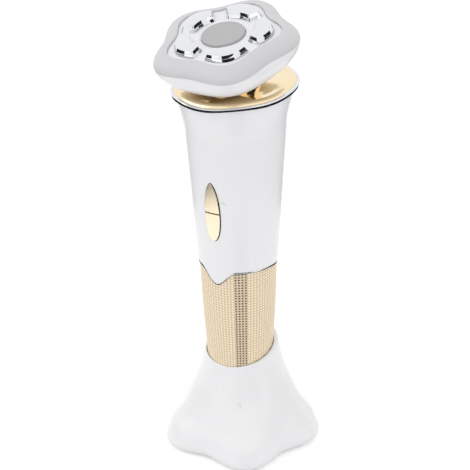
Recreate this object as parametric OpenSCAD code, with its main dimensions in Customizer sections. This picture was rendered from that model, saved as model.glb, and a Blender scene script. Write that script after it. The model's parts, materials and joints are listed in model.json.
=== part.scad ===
// Radio frequency facial device with a petal shaped head, standing in its charging base.
// The axis of the handle is Z, the buttons face -Y, and Z = 0 is the surface it stands on.
// Angles round the axis are measured from the front (-Y) towards +X.

/* [Base] */
// Radius of the skirt at its widest row, between lobe and notch
skirt_r = 34; // [32.5:0.1:36]
// Depth of the skirt's lobes as a share of its radius
skirt_lobe = 0.104; // [0.06:0.002:0.12]
// Height of the mouth at the axis
mouth_h = 47; // [44:0.5:50]
// Slant of the mouth, its front being lower
mouth_tilt = 14.3; // [8:0.1:16]
// Thickness of the lip round the mouth
lip_t = 1.35; // [1:0.05:2]
// Shift of the mouth's outline to the back
mouth_shift = 1.2; // [0:0.1:1.3]
// Wall of the skirt, measured level
skirt_wall = 2.6; // [2:0.1:3.2]
// Height of the seam between the skirt and the bottom plate
seam_h = 2.2; // [1.9:0.1:2.8]
// How far the foot pad stands out under the bottom plate
pad_proud = 0.5; // [0.3:0.1:0.8]
// Radius of the foot pad
pad_r = 19; // [12:0.5:20]
// Height of the underside of the charging board
board_h = 6.4; // [5.8:0.1:6.8]
// Thickness of every circuit board
board_t = 1.2; // [0.8:0.1:1.6]
// Thickness of the cup's floor and its lugs
cup_floor_t = 1.8; // [1.4:0.1:2.2]
// Wall of the cup that holds the handle
cup_wall = 1.3; // [1:0.1:1.5]
// Radius of the base's screw shanks
screw_r = 1.3; // [1:0.05:1.4]
// Width of the charging inlet's metal shell
inlet_w = 8.94; // [8.3:0.02:9.4]
// Height of the charging inlet's metal shell
inlet_h = 3.26; // [2.8:0.02:3.4]
// Depth of the charging inlet's metal shell
inlet_d = 7.3; // [6.5:0.1:8]
// Radius of a charging pin's moving tip
pin_r = 0.75; // [0.6:0.05:0.9]
// Distance of each charging pin from the axis
pin_x = 6; // [4.5:0.1:6.5]
// Height above the floor of the base's charge light
light_h = 27; // [24:0.5:30]
// Angle round the axis of the base's charge light
light_angle = 30; // [26:0.5:34]

/* [Handle] */
// Height of the handle's lower end while it is docked
handle_h = 14; // [13:0.1:15]
// How much narrower the handle is at its lower end than at the mouth
grip_low_step = 1.1; // [0.8:0.05:1.4]
// Radius of the gold sleeve at the mouth
grip_mouth_r = 15.3; // [15:0.05:15.6]
// How much wider the gold sleeve is half way up than at the mouth
grip_mid_step = 1.3; // [1.1:0.05:1.5]
// How much wider the gold sleeve is at its upper edge than at the mouth
grip_top_step = 2; // [1.8:0.05:2.2]
// Wall of the gold sleeve
sleeve_t = 1.3; // [1:0.05:1.5]
// Wall of the core tube inside the sleeve
core_t = 1.4; // [1.2:0.05:1.8]
// Thickness of the end cap's flange
cap_t = 3; // [2.5:0.1:3.5]
// Height between the core tube's upper end and the lower button
core_gap = 4.1; // [3.6:0.1:4.6]
// Level part of the wavy edge between gold and white
wave_h = 92.5; // [90:0.5:95]
// How far the wavy edge dips at the front and at the back
wave_dip = 6.5; // [4:0.1:8]
// Height of the thin bright line along the wavy edge
edge_line_h = 0.8; // [0.5:0.1:1.2]
// Step from the sleeve's upper edge out to the white body
body_step = 0.1; // [0:0.05:0.3]
// Growth of the body's radius for each millimetre of height
body_taper = 0.0663; // [0.06:0.0005:0.075]
// Wall of the white body
body_wall = 1.6; // [1.4:0.05:1.8]
// Height of the white body from the level part of the wavy edge to the rim, at the axis
body_len = 80.6; // [76.5:0.1:84.5]
// Slant of the rim, its front being lower
rim_tilt = 6.9; // [5:0.1:8.5]
// Extra radius that the flare adds to the body at the rim
flare = 3; // [2.6:0.1:3.4]
// Length of the flare below the rim
flare_len = 18; // [15:0.5:21]
// How far the rim's edge stands out beyond the flare
rim_lip = 1.1; // [0.8:0.1:1.3]
// Depth of the rim's lobes as a share of its radius
rim_lobe = 0.01; // [0.004:0.002:0.02]
// Rise of the rim's edge at each lobe
rim_wave = 0.35; // [0:0.05:0.7]
// Height of the bright rim band
rim_band_h = 1.6; // [1.3:0.1:2]
// Thickness of the bright rim band
rim_band_t = 1.4; // [1.2:0.05:1.6]

/* [Buttons] */
// Place of the gap between the two buttons as a share of the white body's height
split_share = 0.347; // [0.33:0.001:0.365]
// Height of the upper button above the gap
upper_len = 13.9; // [12:0.1:15]
// Height of the lower button below the gap
lower_len = 13.2; // [12:0.1:14]
// Width of the buttons
button_w = 7.3; // [6.5:0.1:7.6]
// Gap between the two buttons and round them
button_gap = 0.3; // [0.3:0.05:0.4]
// How far the buttons stand out of the body
button_proud = 0.5; // [0.3:0.05:0.8]
// Travel of each button
button_travel = 0.5; // [0.3:0.05:0.7]
// Radius of each button's stem
stem_r = 1.5; // [1.2:0.1:1.8]
// Height of the small light above the gap between the buttons
lamp_rise = 5.2; // [3:0.1:8]
// Gap between the buttons' flange and the small light
lamp_gap = 0.35; // [0.3:0.05:1]
// Radius of the small light
lamp_r = 0.6; // [0.4:0.05:0.8]

/* [Works] */
// Room round the battery cell in its tray
cell_room = 2.45; // [2.3:0.05:3]
// Height between the battery cell and the main board
cell_gap = 9; // [8.5:0.5:20]
// Height of the battery cell above the handle's lower end
cell_rise = 16; // [15:0.5:18]
// Width of the main board
main_w = 22; // [20:0.5:23]
// Height between the core tube's upper end and the main board
board_gap = 1; // [0.6:0.1:2]
// Height between the main board and the bulkhead
bulkhead_gap = 2; // [1.6:0.1:3]
// Depth from the inside of the body's wall back to the main board's face
button_room = 8.87; // [8.6:0.01:9.4]
// Width of each press switch
switch_w = 6; // [5:0.1:6.5]
// Height of each press switch above the board
switch_t = 3.1; // [2.8:0.1:3.4]
// Radius of the vibration motor's case
motor_r = 5; // [4:0.1:5.2]
// Length of the vibration motor's case
motor_len = 13; // [10:0.5:14]
// Height of the motor case above the main board's lower end
motor_rise = 8; // [7:0.5:10]
// How far the bulkhead that carries the neck lies below the rim
bulkhead_drop = 24.6; // [23:0.1:26]
// Thickness of the bulkhead
bulkhead_t = 2.4; // [2:0.1:3]

/* [Head] */
// Height of the bowl's lowest point above the rim, at the axis
bowl_gap = 1.9; // [1.7:0.1:2.6]
// How far the middle of the face lies in front of the axis
head_y = 8.1; // [7.8:0.1:8.5]
// Forward tilt of the head
head_tilt = 17.6; // [16.6:0.1:18.6]
// Radius of the white face plate between lobe and notch
face_r = 22.2; // [21.9:0.1:22.6]
// Depth of the face plate's lobes
face_lobe = 2.1; // [1.6:0.1:2.4]
// Thickness of the face plate
face_t = 2; // [1.6:0.1:2]
// Depth of the face plate below the edge of the frosted ring round it
plate_sink = 1; // [0.8:0.1:1.2]
// Radius of the head at its seam between lobe and notch
head_r = 29.2; // [28.8:0.1:29.8]
// Depth of the head's lobes at the seam
head_lobe = 2.2; // [1.8:0.1:2.6]
// Depth of the seam below the edge of the frosted ring
seam_d = 5.1; // [4.8:0.1:5.4]
// Depth of the bowl below the seam
bowl_d = 16.8; // [16.5:0.1:17.2]
// Wall of the bowl
bowl_wall = 2.2; // [1.8:0.1:2.6]
// Radius of the round lens in the middle
lens_r = 9.1; // [8.6:0.1:9.4]
// Width of the face plate between the lens and the electrodes
lens_margin = 3.7; // [3.4:0.1:4.2]
// Width of the face plate outside the electrodes, between their middle and their corners
face_margin = 2.3; // [2.1:0.05:2.6]
// How much further out an electrode's middle reaches
electrode_lobe = 1.45; // [1:0.05:1.6]
// Gap between neighbouring electrodes
electrode_gap = 4.9; // [4.4:0.1:5.4]
// How far the electrodes stand out of the face plate
electrode_h = 2.7; // [2.4:0.1:3]
// Width of the step round each electrode
electrode_step = 0.4; // [0.3:0.05:0.5]
// Radius of the neck tube
neck_r = 8; // [7.6:0.1:8.2]
// Wall of the gold collar round the neck
collar_wall = 3.9; // [3.4:0.1:4.2]

/* [Fits] */
// Gap between pieces that move past each other
run_gap = 0.3; // [0.25:0.01:0.35]
// Gap between fixed pieces that are fitted together
fit = 0.1; // [0.05:0.01:0.15]

/* [Hidden] */
$fn = 96;
petals = 5;
steps = 80;
white = [0.93, 0.93, 0.94];
gold = [0.90, 0.76, 0.52];
silver = [0.82, 0.83, 0.85];
dark = [0.25, 0.25, 0.27];
green = [0.10, 0.36, 0.22];

// Rows of the skirt: share of the way to the mouth, and share of the step from mouth to skirt radius
skirt_rows = [[0, 0.76], [0.04, 0.935], [0.09, 1], [0.16, 0.962], [0.25, 0.885], [0.36, 0.66],
    [0.5, 0.457], [0.66, 0.259], [0.83, 0.109], [1, 0]];
grip_low_r = grip_mouth_r - grip_low_step;
grip_top_r = grip_mouth_r + grip_top_step;
grip_rows = [[handle_h, grip_low_r], [mouth_h, grip_mouth_r],
    [(mouth_h + wave_h) / 2, grip_mouth_r + grip_mid_step], [wave_h, grip_top_r]];
mouth_r = grip_mouth_r + run_gap + lip_t;
lobe_fade_end = 0.7;
mouth_slope = tan(mouth_tilt);
rim_slope = tan(rim_tilt);
cup_h = handle_h - run_gap;
cup_low_h = cup_h - cup_floor_t;
cup_top_h = 0.6 * mouth_h;
body_low_r = grip_top_r + body_step;
rim_h = wave_h + body_len;
split_h = wave_h + split_share * body_len;
core_top_h = split_h - lower_len - core_gap;
bulkhead_h = rim_h - bulkhead_drop;
main_low_h = core_top_h + board_gap;
main_top_h = bulkhead_h - bulkhead_gap;
main_y = body_round_in_r(split_h) - button_room;
cell_h = handle_h + cell_rise;
cell_len = main_low_h - cell_gap - cell_h;
motor_h = main_low_h + motor_rise;
lamp_h = split_h + lamp_rise;
head_h = rim_h + bowl_gap + (seam_d + bowl_d) * cos(head_tilt);
neck_collar_r = neck_r + fit + collar_wall;
electrode_in_r = lens_r + lens_margin;
electrode_out_r = face_r - face_margin;
rim_r = body_low_r + body_taper * (rim_h - wave_h + wave_dip) + flare + rim_lip;

// Curve through stations
function station(rows, i) = rows[max(0, min(len(rows) - 1, i))];
function steepness(rows, i) =
    (station(rows, i + 1)[1] - station(rows, i - 1)[1])
    / (station(rows, i + 1)[0] - station(rows, i - 1)[0]);
function stretch(rows, x, i = 0) = i >= len(rows) - 2 || x < rows[i + 1][0] ? i : stretch(rows, x, i + 1);
function blend(p, q, mp, mq, t) =
    (1 + 2 * t) * (1 - t) * (1 - t) * p + t * (1 - t) * (1 - t) * mp
    + t * t * (3 - 2 * t) * q - t * t * (1 - t) * mq;
function along(rows, x) =
    x > rows[len(rows) - 1][0]
    ? rows[len(rows) - 1][1] + (x - rows[len(rows) - 1][0]) * steepness(rows, len(rows) - 1)
    : let (i = stretch(rows, x), p = rows[i], q = rows[i + 1], w = q[0] - p[0])
        blend(p[1], q[1], w * steepness(rows, i), w * steepness(rows, i + 1), (x - p[0]) / w);

// Shapes of the petals, the skirt, the handle and the head
function petal(a) = cos(petals * (a - 180 / petals));
function spot(r, a, z) = [r * sin(a), -r * cos(a), z];
function turn(n) = [for (i = [0:n - 1]) i * 360 / n];
function rows(from, to, n) = [for (i = [0:n]) from + (to - from) * i / n];
function mouth_z(a) = mouth_h - mouth_slope * mouth_r * cos(a);
function skirt_t(z, a) = z / mouth_z(a);
function skirt_fade(t) = 0.5 + 0.5 * cos(180 * min(1, t / lobe_fade_end));
function skirt_at(t, a) =
    (mouth_r + (skirt_r - mouth_r) * along(skirt_rows, t)) * (1 + skirt_lobe * skirt_fade(t) * petal(a));
function grip_r(z) = along(grip_rows, z);
function core_r(z) = grip_r(z) - sleeve_t - fit;
function wave_share(a) = a > 180 ? wave_share(360 - a)
    : a < 30 ? pow(cos(3 * a), 2)
    : a > 80 ? pow(cos(0.9 * (180 - a)), 2) : 0;
function wave_z(a) = wave_h - wave_dip * wave_share(a);
function rim_edge_r(a) = rim_r * (1 + rim_lobe * petal(a));
function rim_z(r, a) = rim_h - rim_slope * r * cos(a) + rim_wave * petal(a) * r / rim_r;
function flare_share(d) = pow(max(0, 1 - d / flare_len), 1.5);
function body_line_r(z) = body_low_r + body_taper * (z - wave_h + wave_dip);
function body_r(z, a) =
    let (s = flare_share(rim_z(rim_r, a) - z)) (body_line_r(z) + flare * s) * (1 + rim_lobe * s * petal(a));
function body_in_r(z, a) = max(core_r(z) + fit, body_r(z, a) - body_wall);
function body_round_in_r(z) = max(core_r(z) + fit, body_line_r(z) - body_wall);

// A ring whose section changes round the axis: one closed outline of [radius, height] for each angle
module loft_ring(sections, shift = 0) {
    n = len(sections);
    m = len(sections[0]);
    polyhedron(
        points = [for (i = [0:n - 1], p = sections[i])
            spot(p[0], i * 360 / n, p[1]) + [0, len(p) > 2 ? p[2] : 0, 0]],
        faces = [for (i = [0:n - 1], j = [0:m - 1])
            let (k = (i + 1) % n, l = (j + 1) % m)
            each [[i * m + j, i * m + l, k * m + l], [i * m + j, k * m + l, k * m + j]]],
        convexity = 6);
}

// A round piece from an outline of [radius, height]
module revolve(outline) rotate_extrude() polygon(outline);

// A round solid between two heights whose radius follows the grip, made wider by more
module grip_solid(from, to, more, n = 12)
    revolve([[0, from], for (z = rows(from, to, n)) [grip_r(z) + more, z], [0, to]]);

module core_solid(from, to, more, n = 10)
    revolve([[0, from], for (z = rows(from, to, n)) [core_r(z) + more, z], [0, to]]);

module tube(r_out, r_in, h) difference() {
    cylinder(r = r_out, h = h);
    translate([0, 0, -1]) cylinder(r = r_in, h = h + 2);
}

module along_y(from, to, r) translate([0, from, 0]) rotate([-90, 0, 0]) cylinder(r = r, h = to - from);

module in_head() translate([0, -head_y, head_h]) rotate([head_tilt, 0, 0]) children();

// A tube swept along hand chosen points
function unit(v) = v / norm(v);
function heading(path, i) =
    unit(path[min(i + 1, len(path) - 1)] - path[max(i - 1, 0)]);
function side_of(d) = abs(d[0]) > 0.9 ? unit(cross(d, [0, 1, 0])) : unit(cross(d, [1, 0, 0]));
module cable(path, r, sides = 8) {
    n = len(path);
    ring_points = [for (i = [0:n - 1])
        let (d = heading(path, i), u = side_of(d), v = cross(d, u))
        for (k = [0:sides - 1]) path[i] + r * (cos(k * 360 / sides) * u + sin(k * 360 / sides) * v)];
    polyhedron(
        points = concat(ring_points, [path[0], path[n - 1]]),
        faces = concat(
            [for (i = [0:n - 2], k = [0:sides - 1])
                let (a = i * sides + k, b = i * sides + (k + 1) % sides, c = b + sides, d = a + sides)
                each [[a, b, c], [a, c, d]]],
            [for (k = [0:sides - 1]) [n * sides, (k + 1) % sides, k]],
            [for (k = [0:sides - 1], e = (n - 1) * sides) [n * sides + 1, e + k, e + (k + 1) % sides]]),
        convexity = 4);
}

// The charging base

screw_angles = [36, 108, 252, 324];
screw_ring_r = 0.7 * skirt_r;
boss_t = 0.42;
boss_r = 2.8;
post_r = 3;
inlet_floor_h = board_h + board_t;
inlet_mid_h = inlet_floor_h + inlet_h / 2;
inlet_recess = 0.8;
inlet_slot_gap = 0.25;
inlet_front = skirt_at(skirt_t(inlet_mid_h, 180), 180) - inlet_recess;
seat_posts = [[-8, 12], [8, 12], [0, -14]];
seat_post_r = 1.8;

module at_screws() for (a = screw_angles) translate(spot(screw_ring_r, a, 0)) children();

module slot_along_y(w, h, d) rotate([-90, 0, 0]) linear_extrude(d) {
    square([w - h, h], center = true);
    for (s = [-1, 1]) translate([s * (w - h) / 2, 0]) circle(d = h);
}

// The base's light guide stands on the charging board and bends out through the skirt
guide_r = 17.9;
guide_foot = spot(guide_r, light_angle, inlet_floor_h);
guide_knee = spot(guide_r, light_angle, light_h - 2);
guide_head = spot(skirt_at(skirt_t(light_h, light_angle), light_angle) + 0.1, light_angle, light_h);
module rod(p, q, r, more) {
    v = q - p;
    translate(p) rotate([0, acos(v[2] / norm(v)), atan2(v[1], v[0])]) cylinder(r = r, h = norm(v) + more);
}

// Section of the skirt at an angle, from the seam up the outside and down the inside
skirt_ts = [0.07, 0.1, 0.14, 0.19, 0.25, 0.31, 0.37, 0.44, 0.52, 0.6, 0.7, 0.8, 0.9, 0.97];
function skirt_point(t, a, less) = [skirt_at(t, a) - less, t * mouth_z(a), mouth_shift * t];
function skirt_section(a) =
    let (low = skirt_t(seam_h, a), edge = mouth_z(a))
    concat(
        [for (t = concat([low], skirt_ts)) skirt_point(t, a, 0)],
        [[mouth_r - 0.25, edge + 0.1, mouth_shift], [mouth_r - 0.8, edge + 0.25, mouth_shift],
            [13, edge, 0], [13, 0.78 * edge, 0]],
        [for (t = [0.66, 0.52, 0.4, 0.3, 0.2, 0.12, low]) skirt_point(t, a, skirt_wall)]);

module stand_shell() color(white) difference() {
    union() {
        loft_ring([for (a = turn(steps)) skirt_section(a)]);
        for (a = screw_angles) translate(spot(screw_ring_r, a, cup_h))
            cylinder(r = boss_r, h = boss_t * mouth_z(a) - cup_h);
    }
    grip_solid(handle_h, mouth_h + 8, run_gap);
    at_screws() translate([0, 0, cup_h - 1]) cylinder(r = screw_r - 0.15, h = 4);
    translate([0, inlet_front - inlet_d - 1, inlet_mid_h])
        slot_along_y(inlet_w + 2 * inlet_slot_gap, inlet_h + 2 * inlet_slot_gap, inlet_d + 6);
    rod(guide_knee, guide_head, lamp_r + fit, 3);
}

module stand_cup() color(white) difference() {
    union() {
        grip_solid(cup_low_h, cup_top_h, run_gap + cup_wall, 6);
        translate([0, 0, cup_low_h]) linear_extrude(cup_floor_t) cup_flange();
        for (p = seat_posts) translate([p[0], p[1], inlet_floor_h])
            cylinder(r = seat_post_r, h = cup_low_h - inlet_floor_h + 0.5);
    }
    grip_solid(cup_h, mouth_h + 8, run_gap);
    at_screws() translate([0, 0, cup_low_h - 1]) cylinder(r = screw_r + 0.2, h = cup_floor_t + 2);
    for (s = [-1, 1]) translate([s * pin_x, 0, cup_low_h - 1])
        cylinder(r = barrel_r + fit, h = cup_floor_t + 2);
    rod(guide_foot, guide_knee, lamp_r + 0.2, 0);
}

module cup_flange() {
    circle(r = 18);
    for (a = screw_angles) rotate(a - 90) {
        translate([0, -3.4]) square([screw_ring_r, 6.8]);
        translate([screw_ring_r, 0]) circle(r = 3.4);
    }
}

module stand_base_plate() color(white) difference() {
    union() {
        loft_ring([for (a = turn(steps)) concat(
            [[4, pad_proud, 0]],
            [for (z = rows(pad_proud, seam_h, 3)) skirt_point(skirt_t(z, a), a, 0)],
            [[4, seam_h, 0]])]);
        translate([0, 0, pad_proud]) cylinder(r = 6, h = seam_h - pad_proud);
        at_screws() translate([0, 0, pad_proud + 0.3])
            cylinder(r = post_r, h = cup_low_h - pad_proud - 0.3);
        for (p = seat_posts) translate([p[0], p[1], pad_proud + 0.3])
            cylinder(r = seat_post_r, h = board_h - pad_proud - 0.3);
    }
    at_screws() {
        translate([0, 0, -1]) cylinder(r = screw_r + 0.2, h = cup_low_h + 2);
        translate([0, 0, -1]) cylinder(r = 2.5, h = 3.2);
    }
    translate([0, 0, pad_proud - 1]) cylinder(r = pad_r + fit, h = 1.6);
}

module stand_foot_pad() color(dark) cylinder(r = pad_r, h = pad_proud + 0.6);

module stand_screws() color(silver) at_screws() difference() {
    union() {
        translate([0, 0, 0.9]) cylinder(r = 2.2, h = 1.3);
        translate([0, 0, 2]) cylinder(r = screw_r, h = cup_h - 2);
        translate([0, 0, cup_h - 0.1]) cylinder(r = screw_r - 0.2, h = 2.9);
    }
    translate([0, 0, 0.4]) cylinder(r = 0.9, h = 1, $fn = 6);
}

module stand_board() color(green) translate([0, 0, board_h]) linear_extrude(board_t) {
    translate([-10.5, -17.5]) square([21, 37.5]);
    translate([-6, 15]) square([12, inlet_front - 3.5 - 15]);
}

module inlet_shell() color(silver) translate([0, inlet_front - inlet_d, inlet_mid_h]) difference() {
    slot_along_y(inlet_w, inlet_h, inlet_d);
    translate([0, 0.6, 0]) slot_along_y(inlet_w - 0.6, inlet_h - 0.6, inlet_d);
}

module inlet_tongue() color(dark)
    translate([-inlet_w / 2 + 1.35, inlet_front - inlet_d + 0.6, inlet_mid_h - 0.35])
        cube([inlet_w - 2.7, inlet_d - 1.6, 0.7]);

barrel_r = 1.3;
pin_low_h = inlet_floor_h + 3;
pin_gap = 0.05;
pin_top_h = handle_h - pin_gap;
module charge_pin_barrels() color(gold) for (s = [-1, 1])
    translate([s * pin_x, 0, inlet_floor_h]) difference() {
        cylinder(r = barrel_r, h = cup_h - 0.2 - inlet_floor_h);
        translate([0, 0, 1.4]) cylinder(r = pin_r + 0.05, h = cup_h);
    }

module charge_pin() translate([0, 0, pin_low_h]) {
    cylinder(r = pin_r, h = pin_top_h - 0.3 - pin_low_h);
    translate([0, 0, pin_top_h - 0.3 - pin_low_h]) cylinder(r1 = pin_r, r2 = pin_r - 0.3, h = 0.3);
}
module charge_pin_left() color(gold) translate([-pin_x, 0, 0]) charge_pin();
module charge_pin_right() color(gold) translate([pin_x, 0, 0]) charge_pin();

module stand_light() color("white") {
    rod(guide_foot + [0, 0, 0.5], guide_knee, lamp_r, 0);
    translate(guide_knee) sphere(r = lamp_r);
    rod(guide_knee, guide_head, lamp_r, 0);
    translate(guide_foot) translate([-1.5, -1.5, 0]) cube([3, 3, 1]);
}

// The handle

cap_screw_y = 8;
pad_contact_r = 2.4;
contact_t = 1;
spigot_h = 6;
spigot_r = core_r(handle_h + cap_t) - core_t - fit;
seal_r = 0.5;
seal_ring_r = spigot_r + fit - seal_r - 0.02;

module end_cap() color(white) difference() {
    union() {
        revolve([[0, handle_h], [grip_low_r - 1, handle_h], [grip_r(handle_h + 1), handle_h + 1],
            [grip_r(handle_h + cap_t), handle_h + cap_t], [0, handle_h + cap_t]]);
        translate([0, 0, handle_h + cap_t - 0.5])
            cylinder(r = spigot_r, h = spigot_h + 0.5);
    }
    for (s = [-1, 1]) {
        translate([s * pin_x, 0, handle_h - 1])
            cylinder(r = pad_contact_r + fit, h = 1 + contact_t);
        translate([s * pin_x, 0, handle_h]) cylinder(r = lead_r + 0.2, h = 20);
        translate([0, s * cap_screw_y, handle_h - 1]) cylinder(r = 1.4, h = 20);
        translate([0, s * cap_screw_y, handle_h - 1]) cylinder(r = 2.2, h = 2.6);
    }
    translate([0, 0, handle_h + cap_t + 2]) difference() {
        cylinder(r = 14, h = 1.6);
        translate([0, 0, -1]) cylinder(r = seal_ring_r - seal_r - 0.03, h = 4);
    }
}

module contact_pads() color(gold) for (s = [-1, 1]) translate([s * pin_x, 0, handle_h])
    cylinder(r = pad_contact_r, h = contact_t);

module end_cap_seal() color(dark) translate([0, 0, handle_h + cap_t + 2.8])
    rotate_extrude() translate([seal_ring_r, 0]) circle(r = seal_r, $fn = 24);

module end_cap_screws() color(silver) for (s = [-1, 1]) translate([0, s * cap_screw_y, handle_h + 0.4]) {
    difference() {
        cylinder(r = 2, h = 1.2);
        translate([0, 0, -0.5]) cylinder(r = 0.9, h = 1, $fn = 6);
    }
    cylinder(r = 1.2, h = tray_low_h + 1.5 - handle_h - 0.4);
}

// Everything from a drop below the wavy edge upwards, no wider there than the sleeve's wall needs
module above_wave(drop) loft_ring([for (a = turn(steps))
    let (z = wave_z(a) - drop, r = grip_r(z), top = core_top_h + 20)
    [[r - sleeve_t - 0.2, z], [r + 0.2, z], [1.5 * r, top], [0.5 * r, top]]]);

module grip_sleeve() color(gold) difference() {
    grip_solid(handle_h + cap_t, wave_h, 0, 16);
    translate([0, 0, handle_h + cap_t - 1]) cylinder(r = grip_low_r - sleeve_t, h = 2);
    grip_solid(handle_h + cap_t - 0.01, wave_h + 1, -sleeve_t, 16);
    above_wave(edge_line_h + fit);
}

module core_tube() color("ivory") difference() {
    core_solid(handle_h + cap_t, core_top_h, 0, 14);
    core_solid(handle_h + cap_t - 0.01, core_top_h + 0.01, -core_t, 14);
}

seat_gap = 0.05;
module edge_line() color(silver) loft_ring([for (a = turn(steps))
    let (z = wave_z(a) - seat_gap, out = body_r(z, a) + 0.12, in = body_in_r(z, a))
    [[in, z - edge_line_h], [out, z - edge_line_h], [out, z], [in, z]]]);

function body_height(t, a) =
    let (low = wave_z(a), top = rim_z(rim_edge_r(a), a) - rim_band_h - seat_gap) low + (top - low) * t;
body_ts = [0, 0.08, 0.2, 0.36, 0.52, 0.66, 0.74, 0.8, 0.86, 0.91, 0.96, 1];
module body_solid() loft_ring([for (a = turn(steps)) concat(
    [for (t = body_ts) let (z = body_height(t, a)) [body_r(z, a), z]],
    [for (t = [1, 0.91, 0.8, 0.66, 0.4, 0.2, 0.08, 0]) let (z = body_height(t, a)) [body_in_r(z, a), z]])]);

module body_shell() color(white) difference() {
    union() {
        body_solid();
        translate([0, 0, core_top_h])
            tube(body_round_in_r(core_top_h) + 0.4, core_r(core_top_h) - core_t, 1.6);
    }
    along_y_outline(button_gap, 30);
    translate([lamp_x, 0, lamp_h]) along_y(-30, 0, lamp_r + fit);
}

// Outline of both buttons together, as a prism along Y
function upper_half_w(s) = button_w / 2 * pow(max(0, 1 - s * s), 0.62);
function lower_half_w(s) = button_w / 2 * pow(max(0, 1 - pow(s, 2.6)), 0.5);
shares = [0, 0.2, 0.38, 0.54, 0.67, 0.78, 0.87, 0.94, 0.98, 1];
module pair_outline() polygon(concat(
    [for (s = shares) [upper_half_w(s), upper_len * s]],
    [for (i = [len(shares) - 2:-1:0]) [-upper_half_w(shares[i]), upper_len * shares[i]]],
    [for (i = [1:len(shares) - 1]) [-lower_half_w(shares[i]), -lower_len * shares[i]]],
    [for (i = [len(shares) - 2:-1:1]) [lower_half_w(shares[i]), -lower_len * shares[i]]]));
module along_y_outline(more, deep)
    translate([0, 0, split_h]) rotate([90, 0, 0]) linear_extrude(deep)
        if (more == 0) pair_outline(); else offset(delta = more) pair_outline();

module outer_band(proud, deep) revolve(concat(
    [for (z = rows(split_h - 20, split_h + 20, 10)) [body_line_r(z) - deep, z]],
    [for (i = [10:-1:0]) let (z = split_h - 20 + 4 * i) [body_line_r(z) + proud, z]]));
module inner_band(from, to) revolve(concat(
    [for (z = rows(split_h - 20, split_h + 20, 10)) [body_round_in_r(z) - to, z]],
    [for (i = [10:-1:0]) let (z = split_h - 20 + 4 * i) [body_round_in_r(z) - from, z]]));

flange_more = 0.8;
flange_t = 0.8;
lamp_x = button_w / 2 + flange_more + lamp_gap + lamp_r;
stem_step = 5;
stem_heights = [split_h + stem_step, split_h - stem_step];
guide_half = stem_step + switch_w / 2 + 1.5;
plunger_out = 1.2;
plunger_r = 1.7;
switch_face_y = main_y + switch_t;
module half_space(upper)
    translate([-20, -40, upper ? split_h + button_gap / 2 : split_h - button_gap / 2 - 40])
        cube([40, 40, 40]);

module button(upper) {
    stem_z = stem_heights[upper ? 0 : 1];
    intersection() {
        union() {
            intersection() {
                outer_band(button_proud, body_wall + run_gap + flange_t);
                along_y_outline(0, 40);
            }
            intersection() {
                inner_band(run_gap, run_gap + flange_t);
                along_y_outline(flange_more, 40);
            }
        }
        half_space(upper);
    }
    translate([0, 0, stem_z]) along_y(-body_round_in_r(stem_z) + 0.6, -switch_face_y - plunger_out, stem_r);
}
module button_upper() color(gold) button(true);
module button_lower() color(gold) button(false);

module button_guide() color("ivory") difference() {
    union() {
        intersection() {
            inner_band(2.6, 3.6);
            translate([-8.5, -40, split_h - guide_half]) cube([17, 40, 2 * guide_half]);
        }
        for (s = [-1, 1]) intersection() {
            inner_band(0.03, 3);
            translate([s * 7.9 - 0.6, -40, split_h - guide_half]) cube([1.2, 40, 2 * guide_half]);
        }
    }
    for (z = stem_heights) translate([0, 0, z]) along_y(-30, 0, stem_r + 0.1);
    translate([lamp_x, 0, lamp_h]) along_y(-30, 0, lamp_r + 0.2);
}

module body_light() color("white") intersection() {
    translate([lamp_x, 0, lamp_h]) along_y(-30, -main_y - 1, lamp_r);
    revolve([[0, lamp_h - 4], for (z = [lamp_h - 4, lamp_h + 4]) [body_line_r(z) + 0.05, z],
        [0, lamp_h + 4]]);
}

rim_draft = 0.14;
rim_bevel = 0.5;
module rim_band() color(silver) loft_ring([for (a = turn(steps))
    let (r = rim_edge_r(a), z = rim_z(r, a))
    [[r - rim_lip - rim_band_t, z - rim_band_h], [r - rim_draft, z - rim_band_h],
        [r, z - 0.28 * rim_band_h], [r - rim_bevel, z], [r - rim_band_t, z]]]);

collar_hole_r = neck_collar_r + 0.4;
module collar_plate() color(gold) difference() {
    loft_ring([for (a = turn(steps))
        let (r = rim_edge_r(a), e = r - rim_band_t - 0.05, z = rim_z(r, a), l = 0.25 * petal(a))
        [[8, rim_z(8, a) - 2], [20, rim_z(20, a) - 2], [e - rim_lip, z - rim_band_h], [e, z],
            [e - 0.5, rim_z(e - 0.5, a) + 0.55], [e - 1.3, rim_z(e - 1.3, a) + 0.9],
            [e - 2.6, rim_z(e - 2.6, a) + 0.95], [20, rim_z(20, a) + 0.55 + l],
            [16, rim_z(16, a) + 0.3 + l], [8, rim_z(8, a) + 0.5]]]);
    in_head() translate([0, 0, -40]) cylinder(r = collar_hole_r, h = 40);
}

neck_low_h = bulkhead_h + bulkhead_t;
neck_len = (head_h - neck_low_h) / cos(head_tilt);
neck_foot_y = neck_len * sin(head_tilt) - head_y;
collar_low = -33;
bowl_low = -(seam_d + bowl_d);
nut_r = neck_r + 3.5;
nut_turn = acos((nut_r + 1.6) / head_r);
bowl_floor = -seam_d - (bowl_d - bowl_wall) * sin(nut_turn);
function bowl_under(r) = -seam_d - bowl_d * sqrt(1 - pow(r / head_r, 2));
module neck_collar() color(gold) in_head() revolve([
    [neck_r + fit, collar_low + 2], [neck_collar_r, collar_low + 2], [neck_collar_r - 0.1, collar_low + 6],
    [neck_collar_r - 0.7, bowl_low - 1.6], [neck_collar_r - 0.2, bowl_under(neck_collar_r) - 0.1],
    [neck_r + fit, bowl_under(neck_r) - 0.1]]);

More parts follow.
